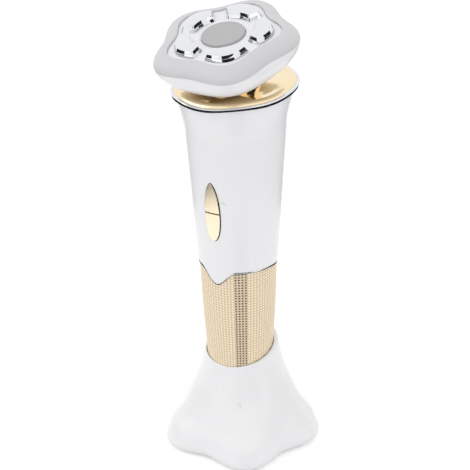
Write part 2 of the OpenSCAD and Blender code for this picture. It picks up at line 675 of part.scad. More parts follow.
module neck_tube() color("ivory") difference() {
    union() {
        intersection() {
            in_head() translate([0, 0, -60]) {
                cylinder(r = neck_r, h = 60 + bowl_low + 8);
                translate([0, 0, 60 + collar_low]) cylinder(r = neck_r + 2.5, h = 2);
            }
            translate([-40, -40, neck_low_h]) cube([80, 80, 80]);
        }
        intersection() {
            translate([0, neck_foot_y, neck_low_h]) cylinder(r = neck_r + 3.4, h = 2);
            cylinder(r = body_round_in_r(bulkhead_h) - fit, h = head_h);
        }
    }
    in_head() translate([0, 0, -70]) cylinder(r = neck_r - 2, h = 70);
    for (p = neck_screw_spots) translate([p[0], p[1], neck_low_h - 1]) cylinder(r = 1.1, h = 10);
}
neck_screw_ring_r = neck_r + 1.9;
neck_screw_spots = [for (a = [35, 145, 195, 345]) neck_screw_ring_r * [cos(a), sin(a)] + [0, neck_foot_y]];

module neck_screws() color(silver) for (p = neck_screw_spots) translate([p[0], p[1], bulkhead_h + 0.4]) {
    cylinder(r = 1, h = neck_low_h + 2 - bulkhead_h);
    translate([0, 0, neck_low_h + 1.6 - bulkhead_h]) cylinder(r = 1.3, h = 1.2);
}

module neck_nut() color(silver) in_head() translate([0, 0, bowl_floor]) difference() {
    cylinder(r = nut_r, h = 2.5, $fn = 6);
    translate([0, 0, -1]) cylinder(r = neck_r + 0.05, h = 5);
}

module bulkhead() color("ivory") difference() {
    translate([0, 0, bulkhead_h]) cylinder(r = body_round_in_r(bulkhead_h) - fit, h = bulkhead_t);
    translate([0, neck_foot_y - 2, bulkhead_h - 1]) cylinder(r = 4, h = 5);
    for (p = neck_screw_spots) translate([p[0], p[1], bulkhead_h + 0.4]) cylinder(r = 1, h = 5);
}

// The works inside the handle

tray_low_h = cell_h - 2;
tray_r = core_r(tray_low_h) - core_t - 0.3;
tray_top_h = cell_h + cell_len + fit;
cell_r = tray_r - cell_room;
plate_y = 4.5;
standoff_spots = [for (x = [-1, 1], z = [main_low_h + 4, main_top_h - 4]) [x * (main_w / 2 - 3), z]];
motor_y = motor_r - plate_y + 2;
module chassis() color("ivory") difference() {
    union() {
        translate([0, 0, tray_low_h]) cylinder(r = tray_r, h = tray_top_h + 2 - tray_low_h);
        translate([-main_w / 2, -plate_y, tray_top_h]) cube([main_w, 1.5, bulkhead_h - tray_top_h]);
        for (p = standoff_spots) translate([p[0], 0, p[1]]) along_y(-main_y + board_t, -plate_y + 0.5, 2);
        translate([0, motor_y, motor_h + 2]) tube(motor_r + 1.4, motor_r + 0.05, motor_len - 4);
    }
    translate([0, 0, cell_h - 0.05]) cylinder(r = cell_r + 0.05, h = cell_len + 0.1);
    translate([-20, -20, cell_h + 3]) cube([40, 20 - 3, cell_len - 6]);
    translate([-20, motor_y + 2, motor_h]) cube([40, 10, motor_len]);
    for (s = [-1, 1]) translate([0, s * cap_screw_y, tray_low_h - 1]) cylinder(r = 1.2, h = 2.6);
    for (p = standoff_spots) translate([p[0], 0, p[1]]) along_y(-main_y - 2, -plate_y - 0.5, 0.8);
    for (s = [-1, 1]) {
        translate([s * lead_x, lead_y, tray_low_h - 1]) cylinder(r = lead_r + 0.2, h = cell_len + 6);
        translate([s * 3, -6, tray_top_h - 1]) cylinder(r = 0.7, h = 4);
    }
}

module battery_cell() color("steelblue") translate([0, 0, cell_h]) {
    cylinder(r = cell_r, h = cell_len - 1.2);
    translate([0, 0, cell_len - 1.2]) cylinder(r = 3, h = 1.2);
}

lead_r = 0.55;
lead_turn = 64;
lead_x = (tray_r - 2 * lead_r) * sin(lead_turn);
lead_y = -(tray_r - 2 * lead_r) * cos(lead_turn);
board_back_y = board_t - main_y;
cap_top_h = handle_h + cap_t + spigot_h;
module charge_leads() color("firebrick") for (s = [-1, 1])
    cable([[s * pin_x, 0, handle_h + contact_t], [s * pin_x, 0, cap_top_h + 0.3],
        [s * 0.75 * lead_x, 0.3 * lead_y, cap_top_h + 1.4], [s * 0.92 * lead_x, 0.8 * lead_y, tray_low_h - 2],
        [s * lead_x, lead_y, tray_low_h - 0.8],
        [s * lead_x, lead_y, cell_h + cell_len / 2], [s * lead_x, lead_y, tray_top_h + 2.9],
        [s * 0.97 * lead_x, (lead_y + board_back_y) / 2, tray_top_h + 4.2],
        [s * 0.94 * lead_x, board_back_y + lead_r, tray_top_h + 5.8],
        [s * 0.94 * lead_x, board_back_y + lead_r, main_low_h + 1.5]],
        lead_r);

module battery_leads() color("black") for (s = [-1, 1])
    cable([[s * 3, -6, cell_h + cell_len - 1.2], [s * 3, -6, tray_top_h + 2.3],
        [s * 3, (board_back_y - 5.5) / 2, tray_top_h + 5],
        [s * 3, board_back_y + 0.5, main_low_h - 0.8], [s * 3, board_back_y + 0.5, main_low_h + 3]], 0.5);

module main_board() color(green) difference() {
    translate([-main_w / 2, -main_y, main_low_h]) cube([main_w, board_t, main_top_h - main_low_h]);
    for (p = standoff_spots) translate([p[0], 0, p[1]]) along_y(-main_y - 2, 0, 1);
}

module board_screws() color(silver) for (p = standoff_spots) translate([p[0], 0, p[1]]) {
    along_y(-main_y - 1, -main_y, 1.7);
    along_y(-main_y - 0.1, -plate_y - 0.6, 0.8);
}

module on_board(x, z, w, h, t) translate([x - w / 2, -main_y - t, z - h / 2]) cube([w, t, h]);
module board_parts() color(dark) {
    on_board(-0.3 * main_w, split_h, 6, 9, 1.2);
    on_board(0.31 * main_w, split_h - 3, 4, 4, 1);
    on_board(0, main_low_h + 3.6, 5, 4, 1.8);
    on_board(-0.4 * main_w, transformer_h - 6, 3, 5, 1.5);
    on_board(0.4 * main_w, transformer_h - 5, 3, 6, 2);
    on_board(lamp_x, lamp_h, 1.6, 1.6, 0.9);
}

// The transformer stands half way between the upper switch and the board's upper end
transformer_h = (stem_heights[0] + switch_w / 2 + main_top_h) / 2;
module rf_transformer() color([0.55, 0.35, 0.2]) {
    for (s = [-1, 1]) on_board(0, transformer_h + 3.2 * s, main_w / 2, 2.4, 6.5);
    translate([0, -main_y - 3.4, transformer_h - 2.1]) cylinder(r = 3, h = 4.2);
}

module switch_bodies() color(dark) for (z = stem_heights) difference() {
    on_board(0, z, switch_w, switch_w, switch_t);
    translate([0, 0, z]) along_y(-switch_face_y - 1, 1.5 + button_travel - switch_face_y, plunger_r + 0.1);
}

module plunger(z) translate([0, 0, z]) along_y(-switch_face_y - plunger_out, -switch_face_y + 1, plunger_r);
module switch_plunger_upper() color("white") plunger(stem_heights[0]);
module switch_plunger_lower() color("white") plunger(stem_heights[1]);

shaft_r = 0.75;
rotor_gap = 0.5;
module motor_case() color(silver) translate([0, motor_y, motor_h]) difference() {
    cylinder(r = motor_r, h = motor_len);
    translate([0, 0, motor_len - 5]) cylinder(r = shaft_r + 0.05, h = 6);
}

module motor_rotor() color(silver) translate([0, motor_y, motor_h + motor_len - 4.8]) {
    cylinder(r = shaft_r, h = 10.5);
    translate([0, 0, 4.8 + rotor_gap]) difference() {
        cylinder(r = motor_r - 0.6, h = 4.5);
        translate([-10, -20 - 0.9, -1]) cube([20, 20, 8]);
    }
    translate([0, 0, 4.8 + rotor_gap]) cylinder(r = 1.6, h = 4.5);
}

// The head, drawn about the middle of its face

function face_at(a) = face_r + face_lobe * petal(a);
function seam_at(a) = head_r + head_lobe * petal(a);
ledge = 1.6;
plate_low = plate_sink + face_t;
ring_turns = [10, 25, 40, 55, 70, 90];
module light_ring() color([0.78, 0.78, 0.79]) in_head() loft_ring([for (a = turn(steps))
    let (p = face_at(a) + fit, s = seam_at(a))
    concat(
        [[p - ledge, -seam_d], [s - bowl_wall, -seam_d], [s, -seam_d]],
        [for (i = [len(ring_turns) - 2:-1:0]) let (u = ring_turns[i])
            [p + (s - p) * sin(u), -0.15 - (seam_d - 0.15) * (1 - cos(u))]],
        [[p, -0.15], [p, -plate_low - 0.05], [p - ledge, -plate_low - 0.05]])]);

// Half section of the bowl: u = 0 at the seam, 90 at its lowest point
function bowl_edge(a, u, wall) =
    let (r = seam_at(a) * cos(u) + (head_r - seam_at(a)) * cos(u) * sin(u))
    [r - wall * cos(u * 0.85), -seam_d - (bowl_d - wall) * sin(u)];
bowl_turns = [0, 8, 17, 27, 37, 47, 56, 64, 70];
module head_bowl() color(white) in_head() difference() {
    loft_ring([for (a = turn(steps)) concat(
        [[6, bowl_under(6)]],
        [for (i = [len(bowl_turns) - 1:-1:0]) bowl_edge(a, bowl_turns[i], 0)],
        [for (u = [0, 14, 30, 46, 56, nut_turn]) bowl_edge(a, u, bowl_wall)],
        [[6, bowl_floor]])]);
    translate([0, 0, -40]) cylinder(r = neck_r + fit, h = 40);
}

module face_outline(n, more) polygon([for (a = turn(n)) (face_at(a) + more) * [sin(a), -cos(a)]]);
electrode_angles = [for (i = [0:petals - 1]) 180 / petals + i * 360 / petals];
stub_r = 1.4;
stub_ring_r = (electrode_in_r + electrode_out_r) / 2;
module at_stubs() for (a = electrode_angles) translate(spot(stub_ring_r, a, 0)) children();

module face_plate() color(white) in_head() difference() {
    translate([0, 0, -plate_low]) linear_extrude(face_t) face_outline(steps, 0);
    translate([0, 0, -plate_low - 1]) cylinder(r = lens_r + fit, h = face_t + 2);
    at_stubs() translate([0, 0, -plate_low - 1]) cylinder(r = stub_r + fit, h = face_t + 2);
}

// Outline of one electrode about the middle of its petal
function corner_turn(r) = 180 / petals - asin(electrode_gap / 2 / r);
function electrode_edge(b) = electrode_out_r + electrode_lobe * cos(petals * b);
module electrode_outline(less) {
    inner = corner_turn(electrode_in_r);
    outer = corner_turn(electrode_out_r - 0.9);
    offset(r = 0.6, $fn = 24) offset(delta = -0.6 - less) polygon(concat(
        [for (b = rows(-inner, inner, 8)) electrode_in_r * [sin(b), -cos(b)]],
        [for (b = rows(outer, -outer, 12)) electrode_edge(b) * [sin(b), -cos(b)]]));
}

board_depth = seam_d + 1.8;
module electrode(i) color(silver) in_head() rotate(electrode_angles[i]) difference() {
    union() {
        translate([0, 0, -plate_sink]) {
            linear_extrude(electrode_h * 0.5) electrode_outline(0);
            linear_extrude(electrode_h) electrode_outline(electrode_step);
        }
        translate([0, -stub_ring_r, -board_depth]) cylinder(r = stub_r, h = board_depth);
    }
    translate([0, -stub_ring_r, -board_depth - 1]) cylinder(r = 0.7, h = 5);
}
module electrode_1() electrode(0);
module electrode_2() electrode(1);
module electrode_3() electrode(2);
module electrode_4() electrode(3);
module electrode_5() electrode(4);

module centre_lens() color([0.72, 0.72, 0.73]) in_head() {
    translate([0, 0, -plate_low - 0.1]) cylinder(r = lens_r, h = plate_low + 0.1);
    translate([0, 0, -plate_low - 1.2]) cylinder(r = lens_r + 1.1, h = 1.15);
}

head_board_r = face_r - 2.5;
module head_board() color(green) in_head() difference() {
    translate([0, 0, -board_depth - board_t]) cylinder(r = head_board_r, h = board_t);
    at_stubs() translate([0, 0, -board_depth - 2]) cylinder(r = 0.9, h = 4);
}

module head_leds() color("lightyellow") in_head() {
    for (a = electrode_angles) rotate(a) translate([-1.5, -7.5, -board_depth]) cube([3, 3, 1]);
    for (a = electrode_angles) rotate(a + 180 / petals)
        translate([-1.5, 1 - head_board_r, -board_depth]) cube([3, 3, 1]);
}

module electrode_screws() color(silver) in_head() at_stubs() {
    translate([0, 0, -board_depth - board_t - 1.1]) cylinder(r = 1.8, h = 1.1);
    translate([0, 0, -board_depth - board_t - 0.1]) cylinder(r = 0.7, h = 4.5);
}

function from_head(p) = [p[0], -head_y + p[1] * cos(head_tilt) - p[2] * sin(head_tilt),
    head_h + p[1] * sin(head_tilt) + p[2] * cos(head_tilt)];
cable_r = 1.4;
module head_cable() color("black") cable(concat(
    [for (h = rows(board_depth + board_t, neck_len - 10, 5)) from_head([0, 0, -h])],
    [from_head([0, -1, 4.4 - neck_len]),
        [0, neck_foot_y - 2.8, neck_low_h + 1.6], [0, neck_foot_y - 3.4, bulkhead_h + 0.8],
        [0, neck_foot_y / 2 - 1.4, bulkhead_h - 2.6], [0, cable_r - plate_y + 2.4, bulkhead_h - 5.2],
        [0, cable_r - plate_y + 1.5, bulkhead_h - 8]]), cable_r);

stand_shell();
stand_cup();
stand_base_plate();
stand_foot_pad();
stand_screws();
stand_board();
inlet_shell();
inlet_tongue();
charge_pin_barrels();
charge_pin_left();
charge_pin_right();
stand_light();
end_cap();
end_cap_seal();
end_cap_screws();
contact_pads();
grip_sleeve();
core_tube();
edge_line();
body_shell();
rim_band();
collar_plate();
neck_collar();
neck_tube();
neck_screws();
neck_nut();
bulkhead();
chassis();
battery_cell();
battery_leads();
charge_leads();
main_board();
board_parts();
board_screws();
rf_transformer();
switch_bodies();
switch_plunger_upper();
switch_plunger_lower();
button_upper();
button_lower();
button_guide();
body_light();
motor_case();
motor_rotor();
head_bowl();
light_ring();
face_plate();
electrode_1();
electrode_2();
electrode_3();
electrode_4();
electrode_5();
centre_lens();
head_board();
head_leds();
electrode_screws();
head_cable();
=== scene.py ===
"""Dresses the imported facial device: fine shells over the CAD frame, materials, light and camera.

Lengths are in millimetres, as in the CAD source, and MM turns them into the frame's metres.
Angles round the handle's axis are in degrees, from the front (-Y) towards +X.
"""
import json
import math

import bmesh
import bpy
import numpy as np
from mathutils import Matrix, Vector


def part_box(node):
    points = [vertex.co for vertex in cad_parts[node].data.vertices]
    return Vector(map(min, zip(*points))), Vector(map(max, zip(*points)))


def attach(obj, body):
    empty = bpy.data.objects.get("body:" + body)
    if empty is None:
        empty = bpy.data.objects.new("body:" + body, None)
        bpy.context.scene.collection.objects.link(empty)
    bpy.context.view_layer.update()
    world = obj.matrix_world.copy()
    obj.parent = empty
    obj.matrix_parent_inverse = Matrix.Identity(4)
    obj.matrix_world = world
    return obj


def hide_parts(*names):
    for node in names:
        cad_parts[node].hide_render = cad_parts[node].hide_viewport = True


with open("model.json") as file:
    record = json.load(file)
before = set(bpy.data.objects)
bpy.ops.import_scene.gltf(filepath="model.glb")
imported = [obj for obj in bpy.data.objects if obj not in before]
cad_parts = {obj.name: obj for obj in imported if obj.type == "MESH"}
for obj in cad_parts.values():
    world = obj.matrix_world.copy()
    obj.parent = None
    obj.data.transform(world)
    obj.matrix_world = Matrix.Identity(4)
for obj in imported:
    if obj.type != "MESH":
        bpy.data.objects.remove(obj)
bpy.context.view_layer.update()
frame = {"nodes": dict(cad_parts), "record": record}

MM = 0.001

# Sizes of the CAD source that the visible shells repeat
PETALS = 5
SKIRT_R, SKIRT_LOBE, SKIRT_WALL, SEAM_H = 34.0, 0.104, 2.6, 2.2
MOUTH_H, MOUTH_TILT, MOUTH_SHIFT, LIP_T = 47.0, 14.3, 1.2, 1.35
HANDLE_H, CAP_T, SLEEVE_T, RUN_GAP, FIT = 14.0, 3.0, 1.3, 0.3, 0.1
SKIRT_ROWS = [(0, 0.76), (0.04, 0.935), (0.09, 1), (0.16, 0.962), (0.25, 0.885), (0.36, 0.66),
              (0.5, 0.457), (0.66, 0.259), (0.83, 0.109), (1, 0)]
LOBE_FADE_END = 0.7
LIGHT_ANGLE, LIGHT_H, GUIDE_R, GUIDE_DROP = 30.0, 27.0, 17.9, 2.0
WAVE_H, WAVE_DIP, EDGE_LINE_H, SEAT_GAP = 92.5, 6.5, 0.8, 0.05
FRONT_DIP_END, BACK_DIP_START = 30, 80
GRIP_MOUTH_R, GRIP_LOW_STEP, GRIP_MID_STEP, GRIP_TOP_STEP, BODY_STEP = 15.3, 1.1, 1.3, 2.0, 0.1
BODY_LEN, BODY_TAPER, BODY_WALL = 80.6, 0.0663, 1.6
RIM_TILT, FLARE, FLARE_LEN, FLARE_POWER, RIM_LIP = 6.9, 3.0, 18.0, 1.5, 1.1
RIM_LOBE, RIM_WAVE, RIM_BAND_H, RIM_BAND_T = 0.01, 0.35, 1.6, 1.4
RIM_DRAFT, RIM_BREAK, RIM_BEVEL = 0.14, 0.28, 0.5
SPLIT_SHARE, UPPER_LEN, LOWER_LEN, BUTTON_W, BUTTON_GAP, BUTTON_PROUD = 0.347, 13.9, 13.2, 7.3, 0.3, 0.5
UPPER_POWER, LOWER_POWER = 0.62, 2.6
LAMP_RISE, LAMP_GAP, LAMP_R, FLANGE_MORE, STEM_STEP, STEM_R = 5.2, 0.35, 0.6, 0.8, 5.0, 1.5
BOWL_GAP, HEAD_Y, HEAD_TILT = 1.9, 8.1, 17.6
FACE_R, FACE_LOBE, FACE_T, PLATE_SINK = 22.2, 2.1, 2.0, 1.0
HEAD_R, HEAD_LOBE, SEAM_D, BOWL_D, BOWL_WALL = 29.2, 2.2, 5.1, 16.8, 2.2
LENS_R, LENS_MARGIN, FACE_MARGIN, ELECTRODE_LOBE = 9.1, 3.7, 2.3, 1.45
LENS_FLANGE, LENS_FLANGE_T = 1.1, 1.2
ELECTRODE_GAP, ELECTRODE_H, ELECTRODE_STEP, STUB_R, BOARD_DROP = 4.9, 2.7, 0.4, 1.4, 1.8
NECK_R, COLLAR_WALL, NUT_FLANGE, LEDGE = 8.0, 3.9, 3.5, 1.6

# Worked out from them
GRIP_ROWS = [(HANDLE_H, GRIP_MOUTH_R - GRIP_LOW_STEP), (MOUTH_H, GRIP_MOUTH_R),
             ((MOUTH_H + WAVE_H) / 2, GRIP_MOUTH_R + GRIP_MID_STEP), (WAVE_H, GRIP_MOUTH_R + GRIP_TOP_STEP)]
BODY_LOW_R = GRIP_MOUTH_R + GRIP_TOP_STEP + BODY_STEP
RIM_H = WAVE_H + BODY_LEN
SPLIT_H = WAVE_H + SPLIT_SHARE * BODY_LEN
LAMP_H = SPLIT_H + LAMP_RISE
LAMP_X = BUTTON_W / 2 + FLANGE_MORE + LAMP_GAP + LAMP_R
HEAD_H = RIM_H + BOWL_GAP + (SEAM_D + BOWL_D) * math.cos(math.radians(HEAD_TILT))
ELECTRODE_IN_R, ELECTRODE_OUT_R = LENS_R + LENS_MARGIN, FACE_R - FACE_MARGIN
STUB_RING_R = (ELECTRODE_IN_R + ELECTRODE_OUT_R) / 2
NECK_COLLAR_R = NECK_R + FIT + COLLAR_WALL
MOUTH_R = GRIP_MOUTH_R + RUN_GAP + LIP_T
RIM_R = BODY_LOW_R + BODY_TAPER * (RIM_H - WAVE_H + WAVE_DIP) + FLARE + RIM_LIP
PLATE_LOW = PLATE_SINK + FACE_T
BOARD_DEPTH = SEAM_D + BOARD_DROP
BORE_R = GRIP_MOUTH_R + RUN_GAP

# Of the finer shapes that only the scene has
COLUMNS = 240                            # round the axis, in each lobed shell
SHY = 0.08                               # keeps the rounder shells inside the CAD solids' facets
GRID_COLUMNS, GRID_PITCH, GRID_TURN, GROOVE = 72, 1.31, 2.9, 0.2
PAD, GROOVE_AT = (-0.26, 0.26), 0.5      # a pad's edges and a groove's bottom, as shares of the pitch
MERGE, MERGE_SLEEVE, MERGE_CAP = 0.001, 0.01, 0.002


def sind(a):
    return np.sin(np.radians(a))


def cosd(a):
    return np.cos(np.radians(a))


def along(rows, x):
    """Smooth curve through (place, value) rows, straight beyond the last one."""
    x = np.asarray(x, float)
    xs, ys = np.array(rows, float).T
    last = len(xs) - 1
    after, before = np.minimum(np.arange(last + 1) + 1, last), np.maximum(np.arange(last + 1) - 1, 0)
    slope = (ys[after] - ys[before]) / (xs[after] - xs[before])
    i = np.clip(np.searchsorted(xs, x, side="right") - 1, 0, last - 1)
    w = xs[i + 1] - xs[i]
    t = (x - xs[i]) / w
    inside = ((1 + 2 * t) * (1 - t) ** 2 * ys[i] + t * (1 - t) ** 2 * w * slope[i]
              + t * t * (3 - 2 * t) * ys[i + 1] - t * t * (1 - t) * w * slope[i + 1])
    return np.where(x > xs[-1], ys[-1] + (x - xs[-1]) * slope[-1], inside)


def petal(a):
    """Wave round the axis, 1 in the middle of each lobe and -1 between them."""
    return cosd(PETALS * (a - 180 / PETALS))


def mouth_z(a):
    return MOUTH_H - math.tan(math.radians(MOUTH_TILT)) * MOUTH_R * cosd(a)


def skirt_at(t, a):
    """Radius of the skirt at share t of the mouth's height."""
    fade = 0.5 + 0.5 * cosd(180 * np.minimum(1, t / LOBE_FADE_END))
    return (MOUTH_R + (SKIRT_R - MOUTH_R) * along(SKIRT_ROWS, t)) * (1 + SKIRT_LOBE * fade * petal(a))


def grip_r(z):
    return along(GRIP_ROWS, z)


def core_r(z):
    return grip_r(z) - SLEEVE_T - FIT


def wave_z(a):
    """Height of the wavy edge between body and sleeve: a narrow dip in front and a wide one at the back."""
    away = np.minimum(a % 360, 360 - a % 360)
    front = cosd(90 * away / FRONT_DIP_END) ** 2
    rear = cosd(90 * (180 - away) / (180 - BACK_DIP_START)) ** 2
    share = np.where(away < FRONT_DIP_END, front, np.where(away > BACK_DIP_START, rear, 0))
    return WAVE_H - WAVE_DIP * share


def rim_edge_r(a):
    return RIM_R * (1 + RIM_LOBE * petal(a))


def rim_z(r, a):
    return RIM_H - math.tan(math.radians(RIM_TILT)) * r * cosd(a) + RIM_WAVE * petal(a) * r / RIM_R


def body_line_r(z):
    return BODY_LOW_R + BODY_TAPER * (z - WAVE_H + WAVE_DIP)


def body_r(z, a):
    s = np.maximum(0, 1 - (rim_z(RIM_R, a) - z) / FLARE_LEN) ** FLARE_POWER
    return (body_line_r(z) + FLARE * s) * (1 + RIM_LOBE * s * petal(a))


def body_in_r(z, a):
    return np.maximum(core_r(z) + FIT, body_r(z, a) - BODY_WALL)


def face_at(a):
    return FACE_R + FACE_LOBE * petal(a)


def seam_at(a):
    return HEAD_R - SHY + HEAD_LOBE * petal(a)


# Mesh builders


def bent(first, corner, last, n):
    """n points of the curve from first to last that bends round the corner."""
    return [(1 - s) ** 2 * first + 2 * s * (1 - s) * corner + s * s * last for s in np.linspace(0, 1, n)]


def outline(*corners, steps=5, sharpest=0.05, side_share=0.45):
    """Rows of a closed section from corners (radius, height[, rounding[, shift]]).
    Each value is a number, or one per column."""
    corners = [(*c, 0.0, 0.0)[:4] for c in corners]
    rows = [np.stack(np.broadcast_arrays(r, z, shift, np.zeros(COLUMNS)), -1)[:, :3]
            for r, z, _, shift in corners]
    made = []
    for j, (_, _, rounding, _) in enumerate(corners):
        here, before, after = rows[j], rows[j - 1], rows[(j + 1) % len(rows)]
        if not rounding:
            made.append(here)
            continue
        du, dv = before - here, after - here
        lu = np.linalg.norm(du, axis=1, keepdims=True)
        lv = np.linalg.norm(dv, axis=1, keepdims=True)
        half = np.arccos(np.clip((du * dv).sum(1, keepdims=True) / (lu * lv), -1, 1)) / 2
        reach = np.minimum(rounding / np.maximum(np.tan(half), sharpest), side_share * np.minimum(lu, lv))
        made += bent(here + du / lu * reach, here, here + dv / lv * reach, steps + 1)
    return np.stack(made, 1)


def spun(section, angles):
    """Points of a ring from its section (columns, rows, 3: radius, height, shift)."""
    r, z, shift = section[..., 0], section[..., 1], section[..., 2]
    a = angles[:, None]
    return np.stack([r * sind(a), -r * cosd(a) + shift, z], -1)


def in_head(points):
    """Turns points of the head's own frame into the wand's."""
    x, y, h = points[..., 0], points[..., 1], points[..., 2]
    c, s = math.cos(math.radians(HEAD_TILT)), math.sin(math.radians(HEAD_TILT))
    return np.stack([x, -HEAD_Y + y * c - h * s, HEAD_H + y * s + h * c], -1)


def in_scene(name, data):
    obj = bpy.data.objects.new(name, data)
    bpy.context.scene.collection.objects.link(obj)
    return obj


def new_object(name, points, faces, unit=MM):
    mesh = bpy.data.meshes.new(name)
    mesh.from_pydata((np.asarray(points) * unit).tolist(), [], faces)
    return in_scene(name, mesh)


def grid_faces(n, m, wrapped):
    last = m if wrapped else m - 1
    return [(i * m + j, (i + 1) % n * m + j, (i + 1) % n * m + (j + 1) % m, i * m + (j + 1) % m)
            for i in range(n) for j in range(last)]


def ring(name, points, wrapped=True, capped=(False, False)):
    """A skin over points (columns, rows, 3) that close round the axis, and along the section if wrapped."""
    n, m, _ = points.shape
    faces = grid_faces(n, m, wrapped)
    if capped[0]:
        faces.append([i * m for i in range(n)][::-1])
    if capped[1]:
        faces.append([i * m + m - 1 for i in range(n)])
    return new_object(name, points.reshape(-1, 3), faces)


def tidy(obj, distance=MERGE):
    """Merges points closer than the distance and turns all faces outwards."""
    bm = bmesh.new()
    bm.from_mesh(obj.data)
    bmesh.ops.remove_doubles(bm, verts=bm.verts, dist=distance * MM)
    bmesh.ops.dissolve_degenerate(bm, edges=bm.edges, dist=distance * MM * 0.1)
    bmesh.ops.recalc_face_normals(bm, faces=bm.faces)
    bm.to_mesh(obj.data)
    bm.free()


def absorb(obj, other):
    """Adds the other object's mesh to this one."""
    bm = bmesh.new()
    bm.from_mesh(obj.data)
    bm.from_mesh(other.data)
    bm.to_mesh(obj.data)
    bm.free()
    bpy.data.objects.remove(other)


def cut(obj, *cutters):
    """Takes the cutters' shapes out of the object, and removes the cutters."""
    for cutter in cutters:
        m = obj.modifiers.new("cut", "BOOLEAN")
        m.operation, m.solver, m.object = "DIFFERENCE", "EXACT", cutter
    bpy.context.view_layer.update()
    done = bpy.data.meshes.new_from_object(obj.evaluated_get(bpy.context.evaluated_depsgraph_get()))
    obj.modifiers.clear()
    obj.data = done
    for cutter in cutters:
        bpy.data.objects.remove(cutter)


def rod(name, start, end, r, sides=48):
    start, end = Vector(start), Vector(end)
    turn = (end - start).to_track_quat("Z", "Y").to_matrix()
    points = []
    for i in range(sides):
        a = 2 * math.pi * i / sides
        side = turn @ Vector((r * math.cos(a), r * math.sin(a), 0))
        points += [start + side, end + side]
    faces = [(2 * i, 2 * ((i + 1) % sides), 2 * ((i + 1) % sides) + 1, 2 * i + 1) for i in range(sides)]
    faces += [[2 * i for i in range(sides)][::-1], [2 * i + 1 for i in range(sides)]]
    return new_object(name, [tuple(p) for p in points], faces)


def prism_y(name, points, start_y, end_y, merge=MERGE):
    """A prism along Y on the outline points (x, z)."""
    n = len(points)
    verts = [(x, start_y, z) for x, z in points] + [(x, end_y, z) for x, z in points]
    faces = [list(range(n)), [n + k for k in range(n)][::-1]]
    faces += [(k, n + k, n + (k + 1) % n, (k + 1) % n) for k in range(n)]
    made = new_object(name, verts, faces)
    tidy(made, merge)
    return made


def spot(r, a, z):
    """Point at a radius, an angle and a height."""
    return r * sind(a), -r * cosd(a), z


# Materials

GRAIN_DEPTH, NOISE_SPREAD = 0.05, (0.3, 0.7)
EVEN = (1, 1, 1)                         # light travels as far under the surface in each colour


def linear(r, g, b):
    return tuple(c / 12.92 if c <= 0.04045 else ((c + 0.055) / 1.055) ** 2.4
                 for c in (r / 255, g / 255, b / 255)) + (1.0,)


def material(name, colour, rough, metallic=0.0, mottle=0.02, mottle_scale=60, grain=0.0, grain_scale=1500,
             **sockets):
    """A principled surface whose colour and roughness wander slightly, with a fine grain.
    rough is (lowest, highest), the scales are per metre, and sockets are set as plain values."""
    m = bpy.data.materials.new(name)
    m.use_nodes = True
    nodes, links = m.node_tree.nodes, m.node_tree.links
    shader = nodes["Principled BSDF"]
    shader.inputs["Metallic"].default_value = metallic
    for socket, value in sockets.items():
        shader.inputs[socket.replace("_", " ")].default_value = value
    place_node = nodes.new("ShaderNodeTexCoord")
    wander = nodes.new("ShaderNodeTexNoise")
    wander.inputs["Scale"].default_value = mottle_scale
    wander.inputs["Detail"].default_value = 4
    links.new(place_node.outputs["Object"], wander.inputs["Vector"])
    mix = nodes.new("ShaderNodeMix")
    mix.data_type = "RGBA"
    base = linear(*colour)
    mix.inputs[6].default_value = tuple(c * (1 - mottle) for c in base[:3]) + (1,)
    mix.inputs[7].default_value = tuple(min(1, c * (1 + mottle)) for c in base[:3]) + (1,)
    links.new(wander.outputs["Fac"], mix.inputs[0])
    links.new(mix.outputs[2], shader.inputs["Base Color"])
    gloss = nodes.new("ShaderNodeMapRange")
    gloss.inputs["From Min"].default_value, gloss.inputs["From Max"].default_value = NOISE_SPREAD
    gloss.inputs["To Min"].default_value, gloss.inputs["To Max"].default_value = rough
    links.new(wander.outputs["Fac"], gloss.inputs["Value"])
    links.new(gloss.outputs["Result"], shader.inputs["Roughness"])
    if grain:
        fine = nodes.new("ShaderNodeTexNoise")
        fine.inputs["Scale"].default_value = grain_scale
        fine.inputs["Detail"].default_value = 3
        links.new(place_node.outputs["Object"], fine.inputs["Vector"])
        bump = nodes.new("ShaderNodeBump")
        bump.inputs["Strength"].default_value = grain
        bump.inputs["Distance"].default_value = GRAIN_DEPTH * MM
        links.new(fine.outputs["Fac"], bump.inputs["Height"])
        links.new(bump.outputs["Normal"], shader.inputs["Normal"])
    return m


